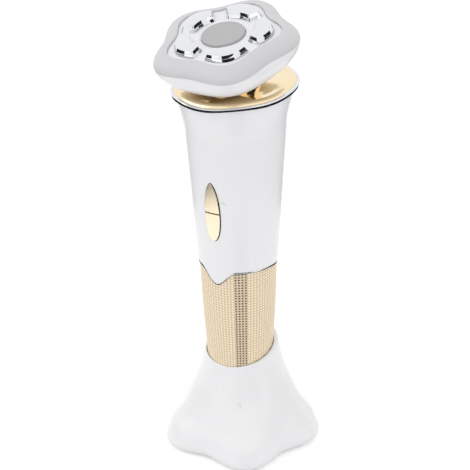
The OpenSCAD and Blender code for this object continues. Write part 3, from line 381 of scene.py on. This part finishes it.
LOOKS = {
    "white_shell": material("gloss white", (240, 240, 242), (0.2, 0.28), mottle=0.006, grain=0.12,
                            grain_scale=500, Coat_Weight=0.1, Coat_Roughness=0.05, Specular_IOR_Level=0.3),
    "white_inner": material("satin white", (232, 232, 234), (0.35, 0.45), mottle=0.01, grain=0.3),
    "ivory_inner": material("ivory nylon", (222, 216, 202), (0.4, 0.55), grain=0.4),
    "foot_rubber": material("foot rubber", (62, 62, 64), (0.6, 0.8), mottle=0.06, grain=0.8),
    "seal_rubber": material("seal rubber", (34, 34, 36), (0.45, 0.6), mottle=0.05, grain=0.4),
    "steel": material("screw steel", (176, 178, 182), (0.22, 0.38), 1.0, mottle=0.05, grain=0.3),
    "board_green": material("board lacquer", (26, 92, 56), (0.25, 0.4), mottle=0.12, mottle_scale=300,
                            grain=0.4, Coat_Weight=0.4),
    "black_plastic": material("black moulding", (26, 26, 28), (0.3, 0.45), mottle=0.05, grain=0.4),
    "gold_contact": material("contact gold", (226, 184, 110), (0.15, 0.25), 1.0, mottle=0.03, grain=0.1),
    "light_guide": material("light guide", (240, 240, 232), (0.25, 0.35), mottle=0.02,
                            Subsurface_Weight=0.3, Subsurface_Scale=0.001, Subsurface_Radius=EVEN),
    "gold_sleeve": material("champagne metal", (240, 224, 196), (0.12, 0.16), 0.95, mottle=0.02,
                            mottle_scale=200, grain=0.04),
    "bright_chrome": material("chrome", (232, 234, 238), (0.05, 0.09), 1.0, mottle=0.01, grain=0.03),
    "gold_mirror": material("mirror gold", (250, 230, 192), (0.08, 0.14), 1.0, mottle=0.03, grain=0.05),
    "gold_button": material("button gold", (252, 236, 206), (0.14, 0.18), 0.9, mottle=0.02, grain=0.03),
    "battery_sleeve": material("cell film", (40, 84, 132), (0.25, 0.35), mottle=0.05, grain=0.2),
    "red_lead": material("red lead", (150, 34, 28), (0.35, 0.5), mottle=0.05, grain=0.3),
    "copper_winding": material("enamelled copper", (168, 98, 52), (0.3, 0.45), 0.5, mottle=0.1,
                               mottle_scale=900, grain=1.0, grain_scale=3000),
    "frosted_ring": material("frosted ring", (209, 209, 211), (0.42, 0.52), mottle=0.02, mottle_scale=40,
                             grain=0.5, grain_scale=2500, Subsurface_Weight=0.25,
                             Subsurface_Scale=0.003, Subsurface_Radius=EVEN),
    "grey_lens": material("grey lens", (177, 177, 178), (0.3, 0.4), mottle=0.04, mottle_scale=250, grain=0.3,
                          Coat_Weight=0.3),
}
FINISHES = {
    # rougher gold whose darker colour is painted shade in the sleeve's grooves
    "groove_painted_shade": material("gold with painted groove shade", (229, 211, 182), (0.5, 0.6), 0.05, mottle=0.04,
                            mottle_scale=400, grain=0.3),
    # near-black colour that is painted shade in the gap round the buttons
    "gap_painted_shade": material("button sides with painted gap shade", (30, 28, 26), (0.3, 0.4), mottle=0.05, grain=0.2),
}
SLOT_OF = {s["node"]: s["material_slot"] for s in frame["record"]["subparts"]}
for node, obj in frame["nodes"].items():
    obj.data.materials.clear()
    obj.data.materials.append(LOOKS[SLOT_OF[node]])


def dress(obj, body_name, node, sharp=40):
    """Finishes a piece: it stands for its CAD node, rides on that node's body and gets its material."""
    obj.data.shade_smooth()
    obj.data.set_sharp_from_angle(angle=math.radians(sharp))
    obj.data.materials.clear()
    obj.data.materials.append(LOOKS[SLOT_OF[node]])
    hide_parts(node)
    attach(obj, body_name)


def second_look(obj, look, chosen):
    """Gives the chosen faces of a dressed piece another material."""
    obj.data.materials.append(FINISHES[look])
    for face in obj.data.polygons:
        if chosen(face):
            face.material_index = 1


# The base's skirt

A = np.arange(COLUMNS) * 360 / COLUMNS
EDGE = mouth_z(A)
SKIRT_STEPS, SKIRT_END = 70, 0.985       # the outer side ends just below the lip
LIP_EDGE, LIP_PROUD, BORE_EDGE = 0.1, 0.28, 0.15       # the lip's outside, middle and inside over the mouth
LIP_SOFT, LIP_SOFT_IN, SET_IN = 0.35, 0.3, 0.02
BORE_LIP, BORE_END = 1.5, 0.72           # the bore runs down to this share of the height
SKIRT_INSIDE = (0.66, 0.58, 0.5, 0.4, 0.3, 0.22, 0.15, 0.1)
SLOT_GAP, SLOT_IN, SLOT_OUT, LIGHT_PAST = 0.25, 5, 8, 3


def skirt_row(t, less=SHY):
    return skirt_at(t, A) - less, t * EDGE, 0, MOUTH_SHIFT * t


def slot_outline(w, h, mid_x, mid_z, sides=16):
    """Outline (x, z) of a slot with round ends."""
    r, run = h / 2, (w - h) / 2
    turns_of_end = [math.pi * k / sides - math.pi / 2 for k in range(sides + 1)]
    return [(mid_x + side * (run + r * math.cos(b)), mid_z + side * r * math.sin(b))
            for side in (1, -1) for b in turns_of_end]


seam_t = SEAM_H / EDGE
skirt_rows = [skirt_row(seam_t + (SKIRT_END - seam_t) * k / SKIRT_STEPS) for k in range(SKIRT_STEPS + 1)]
skirt_rows += [
    (MOUTH_R - SET_IN, EDGE + LIP_EDGE, LIP_SOFT, MOUTH_SHIFT),
    ((BORE_R + MOUTH_R) / 2, EDGE + LIP_PROUD, LIP_SOFT_IN, MOUTH_SHIFT),
    (BORE_R + SET_IN, EDGE + BORE_EDGE, LIP_SOFT_IN, 0), (grip_r(EDGE - BORE_LIP) + RUN_GAP, EDGE - BORE_LIP),
    (grip_r(BORE_END * EDGE) + RUN_GAP, BORE_END * EDGE)]
skirt_rows += [skirt_row(t, SKIRT_WALL) for t in (*SKIRT_INSIDE, seam_t)]
skirt = ring("skirt", spun(outline(*skirt_rows, steps=4), A))

inlet_low, inlet_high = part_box("inlet_shell")
inlet_mid, inlet_size = (inlet_low + inlet_high) / 2 / MM, (inlet_high - inlet_low) / MM
inlet_slot = slot_outline(inlet_size.x + 2 * SLOT_GAP, inlet_size.z + 2 * SLOT_GAP, inlet_mid.x, inlet_mid.z)
light_out = Vector(spot(skirt_at(LIGHT_H / mouth_z(LIGHT_ANGLE), LIGHT_ANGLE), LIGHT_ANGLE, LIGHT_H))
light_in = Vector(spot(GUIDE_R, LIGHT_ANGLE, LIGHT_H - GUIDE_DROP))
beyond = light_out + (light_out - light_in).normalized() * LIGHT_PAST
cut(skirt, prism_y("inlet_cut", inlet_slot, inlet_mid.y - SLOT_IN, inlet_mid.y + SLOT_OUT),
    rod("light_cut", light_in, beyond, LAMP_R + SET_IN))
dress(skirt, "stand", "stand_shell")

# The gold sleeve: a grid of flat pads with grooves between them

GRID_MARGIN, SLEEVE_INSIDE_STEPS = 0.4, 8
cell = np.array((*PAD, GROOVE_AT))
grid_a = GRID_TURN + ((np.arange(GRID_COLUMNS)[:, None] + cell) * 360 / GRID_COLUMNS).ravel()
across = np.tile(cell == GROOVE_AT, GRID_COLUMNS)
grid_top = wave_z(grid_a) - EDGE_LINE_H - FIT
grid_low = HANDLE_H + CAP_T
n_rows = int((WAVE_H - grid_low) / GRID_PITCH) + 1
row_z = (grid_low + (np.arange(n_rows)[:, None] + 0.5 + cell) * GRID_PITCH).ravel()
grid_rows = [(grip_r(grid_low), grid_low)]
for z, in_groove in zip(row_z, np.tile(cell == GROOVE_AT, n_rows)):
    z = np.minimum(z, grid_top)
    margin = np.clip((grid_top - z) / GRID_MARGIN, 0, 1)
    grid_rows.append((grip_r(z) - GROOVE * (across | in_groove) * margin, z))
grid_rows.append((grip_r(grid_top), grid_top))
for k in range(SLEEVE_INSIDE_STEPS + 1):
    z = grid_top + (grid_low - grid_top) * k / SLEEVE_INSIDE_STEPS
    grid_rows.append((grip_r(z) - SLEEVE_T, z))
section = [np.stack([r + 0 * grid_a, z + 0 * grid_a, 0 * grid_a], -1) for r, z in grid_rows]
sleeve = ring("sleeve", spun(np.stack(section, 1), grid_a))
tidy(sleeve, MERGE_SLEEVE)
dress(sleeve, "device", "grip_sleeve", sharp=8)
places = np.array([v.co for v in sleeve.data.vertices]) / MM
sunk = np.hypot(places[:, 0], places[:, 1]) < grip_r(places[:, 2]) - GROOVE / 4
# The groove faces get a darker, rougher gold: the darker colour is painted shade in the grooves.
second_look(sleeve, "groove_painted_shade", lambda face: any(sunk[k] for k in face.vertices))

# The white body with its flared rim

BODY_STEPS, BODY_INSIDE_STEPS = 90, 24
CUT_Y = (-30, -8)
low_z, top_z = wave_z(A), rim_z(rim_edge_r(A), A) - RIM_BAND_H - SEAT_GAP
body_rows = [(body_r(z, A), z) for z in (low_z + (top_z - low_z) * (k / BODY_STEPS)
                                         for k in range(BODY_STEPS + 1))]
body_rows += [(body_in_r(z, A), z) for z in (top_z + (low_z - top_z) * (k / BODY_INSIDE_STEPS)
                                              for k in range(BODY_INSIDE_STEPS + 1))]
body = ring("body", spun(outline(*body_rows), A))


def half_w(upper, s):
    """Half the width of a button at share s of its length from the split."""
    if upper:
        return BUTTON_W / 2 * np.maximum(0, 1 - s * s) ** UPPER_POWER
    return BUTTON_W / 2 * np.sqrt(np.maximum(0, 1 - s ** LOWER_POWER))


def half_outline(upper, more=0.0, gap=0.0, n=28):
    """Points (x, z) of one button's outline, anticlockwise from its right corner at the split."""
    s = np.sin(np.linspace(0, np.pi / 2, n))
    height = (UPPER_LEN if upper else LOWER_LEN) * s
    right = np.stack([half_w(upper, s), np.maximum(height, gap)], 1)
    left = right[::-1][1:] * [-1, 1]
    points = np.concatenate([right, left])
    if more:
        tangent = np.roll(points, -1, 0) - np.roll(points, 1, 0)
        tangent[0], tangent[-1] = points[1] - points[0], points[-1] - points[-2]
        normal = np.stack([tangent[:, 1], -tangent[:, 0]], 1)
        points = points + more * normal / np.linalg.norm(normal, axis=1, keepdims=True)
    if not upper:
        points = (points * [1, -1])[::-1]
    return points + [0, SPLIT_H]


pair = np.concatenate([half_outline(True, BUTTON_GAP), half_outline(False, BUTTON_GAP)])
cut(body, prism_y("button_cut", pair, *CUT_Y, merge=MERGE / 2),
    rod("lamp_cut", (LAMP_X, CUT_Y[0], LAMP_H), (LAMP_X, CUT_Y[1], LAMP_H), LAMP_R + FIT))
dress(body, "device", "body_shell")

LINE_PROUD_LOW, LINE_PROUD_TOP, LINE_SOFT = 0.22, 0.08, 0.1
line_z = low_z - SEAT_GAP
edge = ring("edge_line_bright", spun(outline(
    (body_in_r(line_z, A), line_z - EDGE_LINE_H),
    (body_r(line_z, A) + LINE_PROUD_LOW, line_z - EDGE_LINE_H, LINE_SOFT),
    (body_r(line_z, A) + LINE_PROUD_TOP, line_z, LINE_SOFT), (body_in_r(line_z, A), line_z)), A))
dress(edge, "device", "edge_line")

RIM_SOFT_LOW, RIM_SOFT = 0.06, 0.12
rim_out, rim_top = rim_edge_r(A), rim_z(rim_edge_r(A), A)
rim_low = rim_top - RIM_BAND_H
rim = ring("rim_bright", spun(outline(
    (rim_out - RIM_LIP - RIM_BAND_T, rim_low), (rim_out - RIM_DRAFT, rim_low, RIM_SOFT_LOW),
    (rim_out, rim_top - RIM_BREAK * RIM_BAND_H, RIM_SOFT), (rim_out - RIM_BEVEL, rim_top, RIM_SOFT),
    (rim_out - RIM_BAND_T, rim_top)), A))
dress(rim, "device", "rim_band")

COLLAR_T, COLLAR_IN_R, COLLAR_DISH_R, COLLAR_MID_R, CROWN = 2, 8, 20, 16, 0.25
COLLAR_ROLL = [(0.5, 0.55, 0.5), (1.3, 0.9, 0.6), (2.6, 0.95, 0.8)]      # inwards, upwards, rounding
DISH_RISE, MID_RISE, IN_RISE, DISH_SOFT = 0.55, 0.3, 0.5, 3
NECK_HOLE, NECK_CLEAR = np.array([[0, 0, -45.0], [0, 0, -5.0]]), 0.4     # its ends on the head's axis


def on_rim(r, rise, crown=0.0):
    """A row of the collar, that far above the rim's wavy plane."""
    return r, rim_z(r, A) + rise + crown


inner = rim_out - RIM_BAND_T - SEAT_GAP
crown = CROWN * petal(A)
collar = ring("collar", spun(outline(
    on_rim(COLLAR_IN_R, -COLLAR_T), on_rim(COLLAR_DISH_R, -COLLAR_T), (inner - RIM_LIP, rim_low),
    (inner, rim_top), *[(*on_rim(inner - less, rise), soft) for less, rise, soft in COLLAR_ROLL],
    (*on_rim(COLLAR_DISH_R, DISH_RISE, crown), DISH_SOFT),
    (*on_rim(COLLAR_MID_R, MID_RISE, crown), DISH_SOFT),
    on_rim(COLLAR_IN_R, IN_RISE)), A))
cut(collar, rod("collar_cut", *in_head(NECK_HOLE), NECK_COLLAR_R + NECK_CLEAR, sides=128))
dress(collar, "device", "collar_plate", sharp=50)

# The buttons

CAP_GAP, CAP_SHADE_SIDE = 0.1, 0.2             # a side face is one whose normal has less than this along Y
CAP_EDGE = [(0.04, 0.04), (0.12, 0.0)]   # of the rounded edge: how far in, and how far below the top
CAP_FOOT, CAP_STRAIGHT = 0.3, 0.12
CAP_MIDDLE, CAP_SHARES = 0.45, (0.98, 0.94, 0.85, 0.7, 0.55, 0.4, 0.25, 0.1)


def closed(points, n=20):
    """Adds points along the split, so that the cap is round there too."""
    return np.concatenate([points, np.linspace(points[-1], points[0], n)[1:-1]])


def on_body(points, out):
    """Lays points (x, z) on the body's round side, or that far out of it."""
    radius = body_line_r(points[:, 1]) + out
    return np.stack([points[:, 0], -np.sqrt(radius ** 2 - points[:, 0] ** 2), points[:, 1]], -1)


def button(name, upper, body_name, node):
    """A cap with rounded edges that follows the body's round side, and the stem behind it."""
    way = 1 if upper else -1
    levels = [(0.0, -BODY_WALL - CAP_FOOT), (0.0, BUTTON_PROUD - CAP_STRAIGHT)]
    levels += [(inset, BUTTON_PROUD - drop) for inset, drop in CAP_EDGE]
    rings = []
    for inset, out in levels:
        flat = closed(half_outline(upper, -inset, gap=BUTTON_GAP / 2 + CAP_GAP + inset))
        rings.append(on_body(flat, out))
    middle = np.array([0, SPLIT_H + way * (UPPER_LEN if upper else LOWER_LEN) * CAP_MIDDLE])
    rings += [on_body(middle + (flat - middle) * share, BUTTON_PROUD) for share in CAP_SHARES]
    made = ring(name, np.stack(rings, 1), wrapped=False, capped=(True, True))
    tidy(made, MERGE_CAP)
    stem_z = SPLIT_H + way * STEM_STEP
    stem_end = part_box(node)[1].y / MM
    absorb(made, rod(name + "_stem", (0, -body_line_r(stem_z) + BODY_WALL, stem_z), (0, stem_end, stem_z),
                     STEM_R))
    dress(made, body_name, node)
    # The cap's side faces get a near-black colour: painted shade in the gap between button and body.
    second_look(made, "gap_painted_shade", lambda face: abs(face.normal.y) < CAP_SHADE_SIDE)


button("button_cap_upper", True, "upper_button", "button_upper")
button("button_cap_lower", False, "lower_button", "button_lower")

# The head

BOWL_TURN, BOWL_STEPS, BOWL_IN_STEPS, WALL_TURN = 72, 41, 9, 0.85
RING_TURN, RING_STEPS, RING_DROP, RING_SOFT = (84, 3), 28, 0.15, 0.1
SEAT_DROP, PLATE_SOFT = 0.05, 0.2
lowest = -SEAM_D - BOWL_D


def bowl_row(u, wall=0.0):
    """A row of the bowl, from 0 degrees at the seam with the ring to 90 at its lowest point."""
    r = seam_at(A) * cosd(u) + (HEAD_R - seam_at(A)) * cosd(u) * sind(u)
    return r - wall * cosd(WALL_TURN * u), -SEAM_D - (BOWL_D - wall) * sind(u)


def under(r):
    return -SEAM_D - BOWL_D * math.sqrt(1 - (r / HEAD_R) ** 2)


def head_ring(name, *corners, **options):
    """A ring in the head's own frame: its axis is the head's, and its height 0 is the ring's top."""
    return ring(name, in_head(spun(outline(*corners), A)), **options)


neck_hole = NECK_R + FIT
nut_turn = math.degrees(math.acos((NECK_R + NUT_FLANGE + LEDGE) / HEAD_R))
bowl_floor = -SEAM_D - (BOWL_D - BOWL_WALL) * sind(nut_turn)
bowl = head_ring("bowl", (neck_hole, under(neck_hole)),
                 *[bowl_row(u) for u in np.linspace(BOWL_TURN, 0, BOWL_STEPS)],
                 *[bowl_row(u, BOWL_WALL) for u in np.linspace(0, nut_turn, BOWL_IN_STEPS)],
                 (neck_hole, bowl_floor))
dress(bowl, "device", "head_bowl")

plate_r, seam_r = face_at(A) + FIT, seam_at(A)
seat = -PLATE_LOW - SEAT_DROP
ring_rows = [(plate_r - LEDGE, -SEAM_D), (seam_r, -SEAM_D)]
ring_rows += [(plate_r + (seam_r - plate_r) * sind(u), -RING_DROP - (SEAM_D - RING_DROP) * (1 - cosd(u)))
              for u in np.linspace(*RING_TURN, RING_STEPS)]
ring_rows += [(plate_r + SET_IN, -RING_DROP, RING_SOFT), (plate_r, seat), (plate_r - LEDGE, seat)]
dress(head_ring("frosted_ring", *ring_rows), "device", "light_ring")

plate = head_ring("face", (LENS_R + FIT, -PLATE_LOW), (face_at(A), -PLATE_LOW),
                  (face_at(A), -PLATE_SINK, PLATE_SOFT), (LENS_R + FIT, -PLATE_SINK, PLATE_SOFT))
dress(plate, "device", "face_plate")

TIER, TIER_IN, TOP_IN = 0.5 * ELECTRODE_H, 0.3, ELECTRODE_STEP + 0.45
# How far in from the outline and how high: the foot, the lower tier's edge, the step and the top's edge
ELECTRODE_ROWS = [(-0.2, 0),
                  (TIER_IN, TIER - 0.12), (TIER_IN + 0.03, TIER - 0.03), (TIER_IN + 0.08, TIER),
                  (ELECTRODE_STEP - 0.01, TIER), (ELECTRODE_STEP + 0.02, TIER + 0.05),
                  (TOP_IN, ELECTRODE_H - 0.2), (TOP_IN + 0.06, ELECTRODE_H - 0.06),
                  (TOP_IN + 0.2, ELECTRODE_H)]
ARC_POINTS, OUTER_MORE, CORNER_IN, CORNER_SOFT, CORNER_SHARE, CORNER_POINTS = 20, 8, 0.9, 0.6, 0.9, 6


def keystone(less):
    """Outline of an electrode in the first petal, drawn in by that much, with rounded corners."""
    def corner(r):
        return 180 / PETALS - math.degrees(math.asin((ELECTRODE_GAP / 2 + less) / r))

    def edge_r(b):
        return ELECTRODE_OUT_R + ELECTRODE_LOBE * cosd(PETALS * b) - less

    r_in = ELECTRODE_IN_R + less
    b_in, b_out = corner(r_in), corner(ELECTRODE_OUT_R - CORNER_IN - less)
    path = [np.array((r_in * sind(b), -r_in * cosd(b))) for b in np.linspace(-b_in, b_in, ARC_POINTS)]
    path += [np.array((edge_r(b) * sind(b), -edge_r(b) * cosd(b)))
             for b in np.linspace(b_out, -b_out, ARC_POINTS + OUTER_MORE)]
    corners = {0, ARC_POINTS - 1, ARC_POINTS, len(path) - 1}
    made = []
    for k, p in enumerate(path):
        if k not in corners:
            made.append(p)
            continue
        sides = [path[k - 1] - p, path[(k + 1) % len(path)] - p]
        lengths = [np.linalg.norm(side) for side in sides]
        ends = [p + side / length * min(CORNER_SOFT, CORNER_SHARE * length)
                for side, length in zip(sides, lengths)]
        made += bent(ends[0], p, ends[1], CORNER_POINTS)
    return made


def electrode(number, angle):
    """One keystone in two tiers with its post through the face plate."""
    rows = [[(x, y, h - PLATE_SINK) for x, y in keystone(less)] for less, h in ELECTRODE_ROWS]
    points = np.array(rows).transpose(1, 0, 2)
    c, s = cosd(angle), sind(angle)
    turned = np.stack([points[..., 0] * c - points[..., 1] * s, points[..., 0] * s + points[..., 1] * c,
                       points[..., 2]], -1)
    made = ring(f"electrode_face_{number}", in_head(turned), wrapped=False, capped=(True, True))
    tidy(made)
    ends = [in_head(np.array(spot(STUB_RING_R, angle, h), float)) for h in (0, -BOARD_DEPTH)]
    absorb(made, rod("post", *ends, STUB_R, sides=32))
    dress(made, "device", f"electrode_{number}")


for i in range(PETALS):
    electrode(i + 1, 180 / PETALS + i * 360 / PETALS)

LENS_EDGE = [(1, 0, 0.25), (0.93, 0, 0.2), (0.9, -0.1, 0.2), (0.5, -0.07, 2)]    # share of its radius
LENS_CENTRE = (0.2, -0.05)
lens = head_ring("lens", (LENS_R + LENS_FLANGE, -PLATE_LOW - LENS_FLANGE_T), (LENS_R + LENS_FLANGE, seat),
                 (LENS_R, seat), *[(LENS_R * share, h, soft) for share, h, soft in LENS_EDGE], LENS_CENTRE,
                 wrapped=False, capped=(True, True))
tidy(lens)
dress(lens, "device", "centre_lens")

COLLAR_FOOT, COLLAR_LOW = -31, -27
FOOT_IN, WAIST_IN, WAIST_DROP, COLLAR_TOP_IN, COLLAR_TOP_DROP = 0.1, 0.8, 1.6, 0.2, 0.1
FOOT_SOFT, LOW_SOFT, WAIST_SOFT, TOP_SOFT = 0.3, 3, 1.2, 0.1
neck = head_ring("neck_collar_gold", (neck_hole, COLLAR_FOOT), (NECK_COLLAR_R, COLLAR_FOOT, FOOT_SOFT),
                 (NECK_COLLAR_R - FOOT_IN, COLLAR_LOW, LOW_SOFT),
                 (NECK_COLLAR_R - WAIST_IN, lowest - WAIST_DROP, WAIST_SOFT),
                 (NECK_COLLAR_R - COLLAR_TOP_IN, under(NECK_COLLAR_R) - COLLAR_TOP_DROP, TOP_SOFT),
                 (neck_hole, under(NECK_R) - COLLAR_TOP_DROP))
dress(neck, "device", "neck_collar")

# Floor, world, lamps and camera. The floor and the lamps are in metres, the camera's distance in millimetres.

FLOOR, FLOOR_GAP, PAPER, PAPER_GLOW = 1.6, 0.0002, (0.86, 0.86, 0.86, 1), 0.32
WORLD_LIGHT, WORLD_SEEN = 0.95, 1.0
LAMPS = {"key": ((-0.7, -0.5, 0.9), 0.7, 1.2), "fill": ((0.9, -0.6, 0.7), 0.8, 0.4)}    # place, size, watts
LAMP_AIM = Vector((0, 0, 0.1))
AZIMUTH, ELEVATION, ROLL = 32.857, 25.032, -1.164
DISTANCE, LENS_MM, SENSOR_MM, SHIFT_X = 525.45, 90.64, 36.0, -0.0062
TARGET, CLIP = Vector((0, 0, 102.27)) * MM, (0.01, 20)


def nodes_of(block):
    block.use_nodes = True
    return block.node_tree.nodes, block.node_tree.links


def seen_or_mirrored(nodes, links):
    """1 for camera and glossy rays, else 0."""
    path = nodes.new("ShaderNodeLightPath")
    seen = nodes.new("ShaderNodeMath")
    seen.operation = "MAXIMUM"
    links.new(path.outputs["Is Camera Ray"], seen.inputs[0])
    links.new(path.outputs["Is Glossy Ray"], seen.inputs[1])
    return seen.outputs[0]


def matt_material(name, colour):
    """A matt material and its shader."""
    m = bpy.data.materials.new(name)
    nodes, links = nodes_of(m)
    nodes.remove(nodes["Principled BSDF"])
    matt = nodes.new("ShaderNodeBsdfDiffuse")
    matt.inputs["Color"].default_value = colour
    links.new(matt.outputs[0], nodes["Material Output"].inputs["Surface"])
    return m, matt


floor = new_object("floor", [(-FLOOR, -FLOOR, 0), (FLOOR, -FLOOR, 0), (FLOOR, FLOOR, 0), (-FLOOR, FLOOR, 0)],
                   [(0, 1, 2, 3)], unit=1)
floor.location.z = -FLOOR_GAP
paper, matt = matt_material("paper", PAPER)
floor.data.materials.append(paper)
nodes, links = nodes_of(paper)
glow = nodes.new("ShaderNodeEmission")
glow.inputs["Strength"].default_value = PAPER_GLOW
both, veil = nodes.new("ShaderNodeAddShader"), nodes.new("ShaderNodeMixShader")
links.new(seen_or_mirrored(nodes, links), veil.inputs[0])
links.new(matt.outputs[0], veil.inputs[1])
links.new(matt.outputs[0], both.inputs[0])
links.new(glow.outputs[0], both.inputs[1])
links.new(both.outputs[0], veil.inputs[2])
links.new(veil.outputs[0], nodes["Material Output"].inputs["Surface"])

world = bpy.data.worlds.new("studio")
bpy.context.scene.world = world
nodes, links = nodes_of(world)
sky = nodes["Background"]
sky.inputs["Color"].default_value = (1, 1, 1, 1)
level = nodes.new("ShaderNodeMapRange")
level.inputs["To Min"].default_value, level.inputs["To Max"].default_value = WORLD_LIGHT, WORLD_SEEN
links.new(seen_or_mirrored(nodes, links), level.inputs["Value"])
links.new(level.outputs["Result"], sky.inputs["Strength"])

for name, (place, size, watts) in LAMPS.items():
    lamp_data = bpy.data.lights.new(name, "AREA")
    lamp_data.shape, lamp_data.size, lamp_data.energy = "SQUARE", size, watts
    lamp = in_scene(name, lamp_data)
    lamp.location = place
    lamp.rotation_mode = "QUATERNION"
    lamp.rotation_quaternion = (LAMP_AIM - Vector(place)).to_track_quat("-Z", "Y")

a, e, roll = map(math.radians, (AZIMUTH, ELEVATION, ROLL))
back = Vector((math.sin(a) * math.cos(e), -math.cos(a) * math.cos(e), math.sin(e)))
right = Vector((math.cos(a), math.sin(a), 0))
up = Vector((-math.sin(a) * math.sin(e), math.cos(a) * math.sin(e), math.cos(e)))
x_axis = right * math.cos(roll) + up * math.sin(roll)
y_axis = up * math.cos(roll) - right * math.sin(roll)
camera_data = bpy.data.cameras.new("camera")
camera_data.lens, camera_data.sensor_width, camera_data.shift_x = LENS_MM, SENSOR_MM, SHIFT_X
camera_data.clip_start, camera_data.clip_end = CLIP
camera = in_scene("camera", camera_data)
camera.matrix_world = Matrix.Translation(TARGET + back * DISTANCE * MM) @ Matrix(
    (x_axis, y_axis, back)).transposed().to_4x4()
bpy.context.scene.camera = camera

# Dark cards that only the shiny pieces reflect: upright blinds all round, a ring and a wedge on the floor.
# Their sizes are in metres.

CARD_R, CARD_LOW, CARD_LIFT, INK, CARD_STEPS = 0.8, 0.001, 0.0004, (0.02, 0.02, 0.02, 1), 25
BLINDS = [(-85, -35, 0.31), (6, 70, 0.31), (97, 137, 0.58)]                 # from, to, height
FLOOR_CARDS = {"dark_ring": (AZIMUTH - 150, AZIMUTH + 150, 0.25, 0.55),     # from, to, inside, outside
               "dark_wedge": (AZIMUTH - 14, AZIMUTH + 24, 0.045, 0.2)}


def dark_card(name, start, end, sides):
    """A strip round the axis between two angles, from its two sides' radii and heights."""
    points = [(r * np.sin(t), -r * np.cos(t), z)
              for t in np.radians(np.linspace(start, end, CARD_STEPS)) for r, z in sides]
    card = new_object(name, points, [(2 * k, 2 * k + 1, 2 * k + 3, 2 * k + 2) for k in range(CARD_STEPS - 1)],
                      unit=1)
    card.data.materials.append(matt_material(name, INK)[0])
    card.visible_camera = card.visible_diffuse = card.visible_shadow = False


for k, (start, end, height) in enumerate(BLINDS):
    dark_card(f"blind_{k + 1}", start, end, [(CARD_R, CARD_LOW), (CARD_R, height)])
for name, (start, end, r_in, r_out) in FLOOR_CARDS.items():
    dark_card(name, start, end, [(r_in, CARD_LIFT), (r_out, CARD_LIFT)])

bpy.context.scene.view_settings.view_transform = "Standard"
bpy.context.view_layer.update()
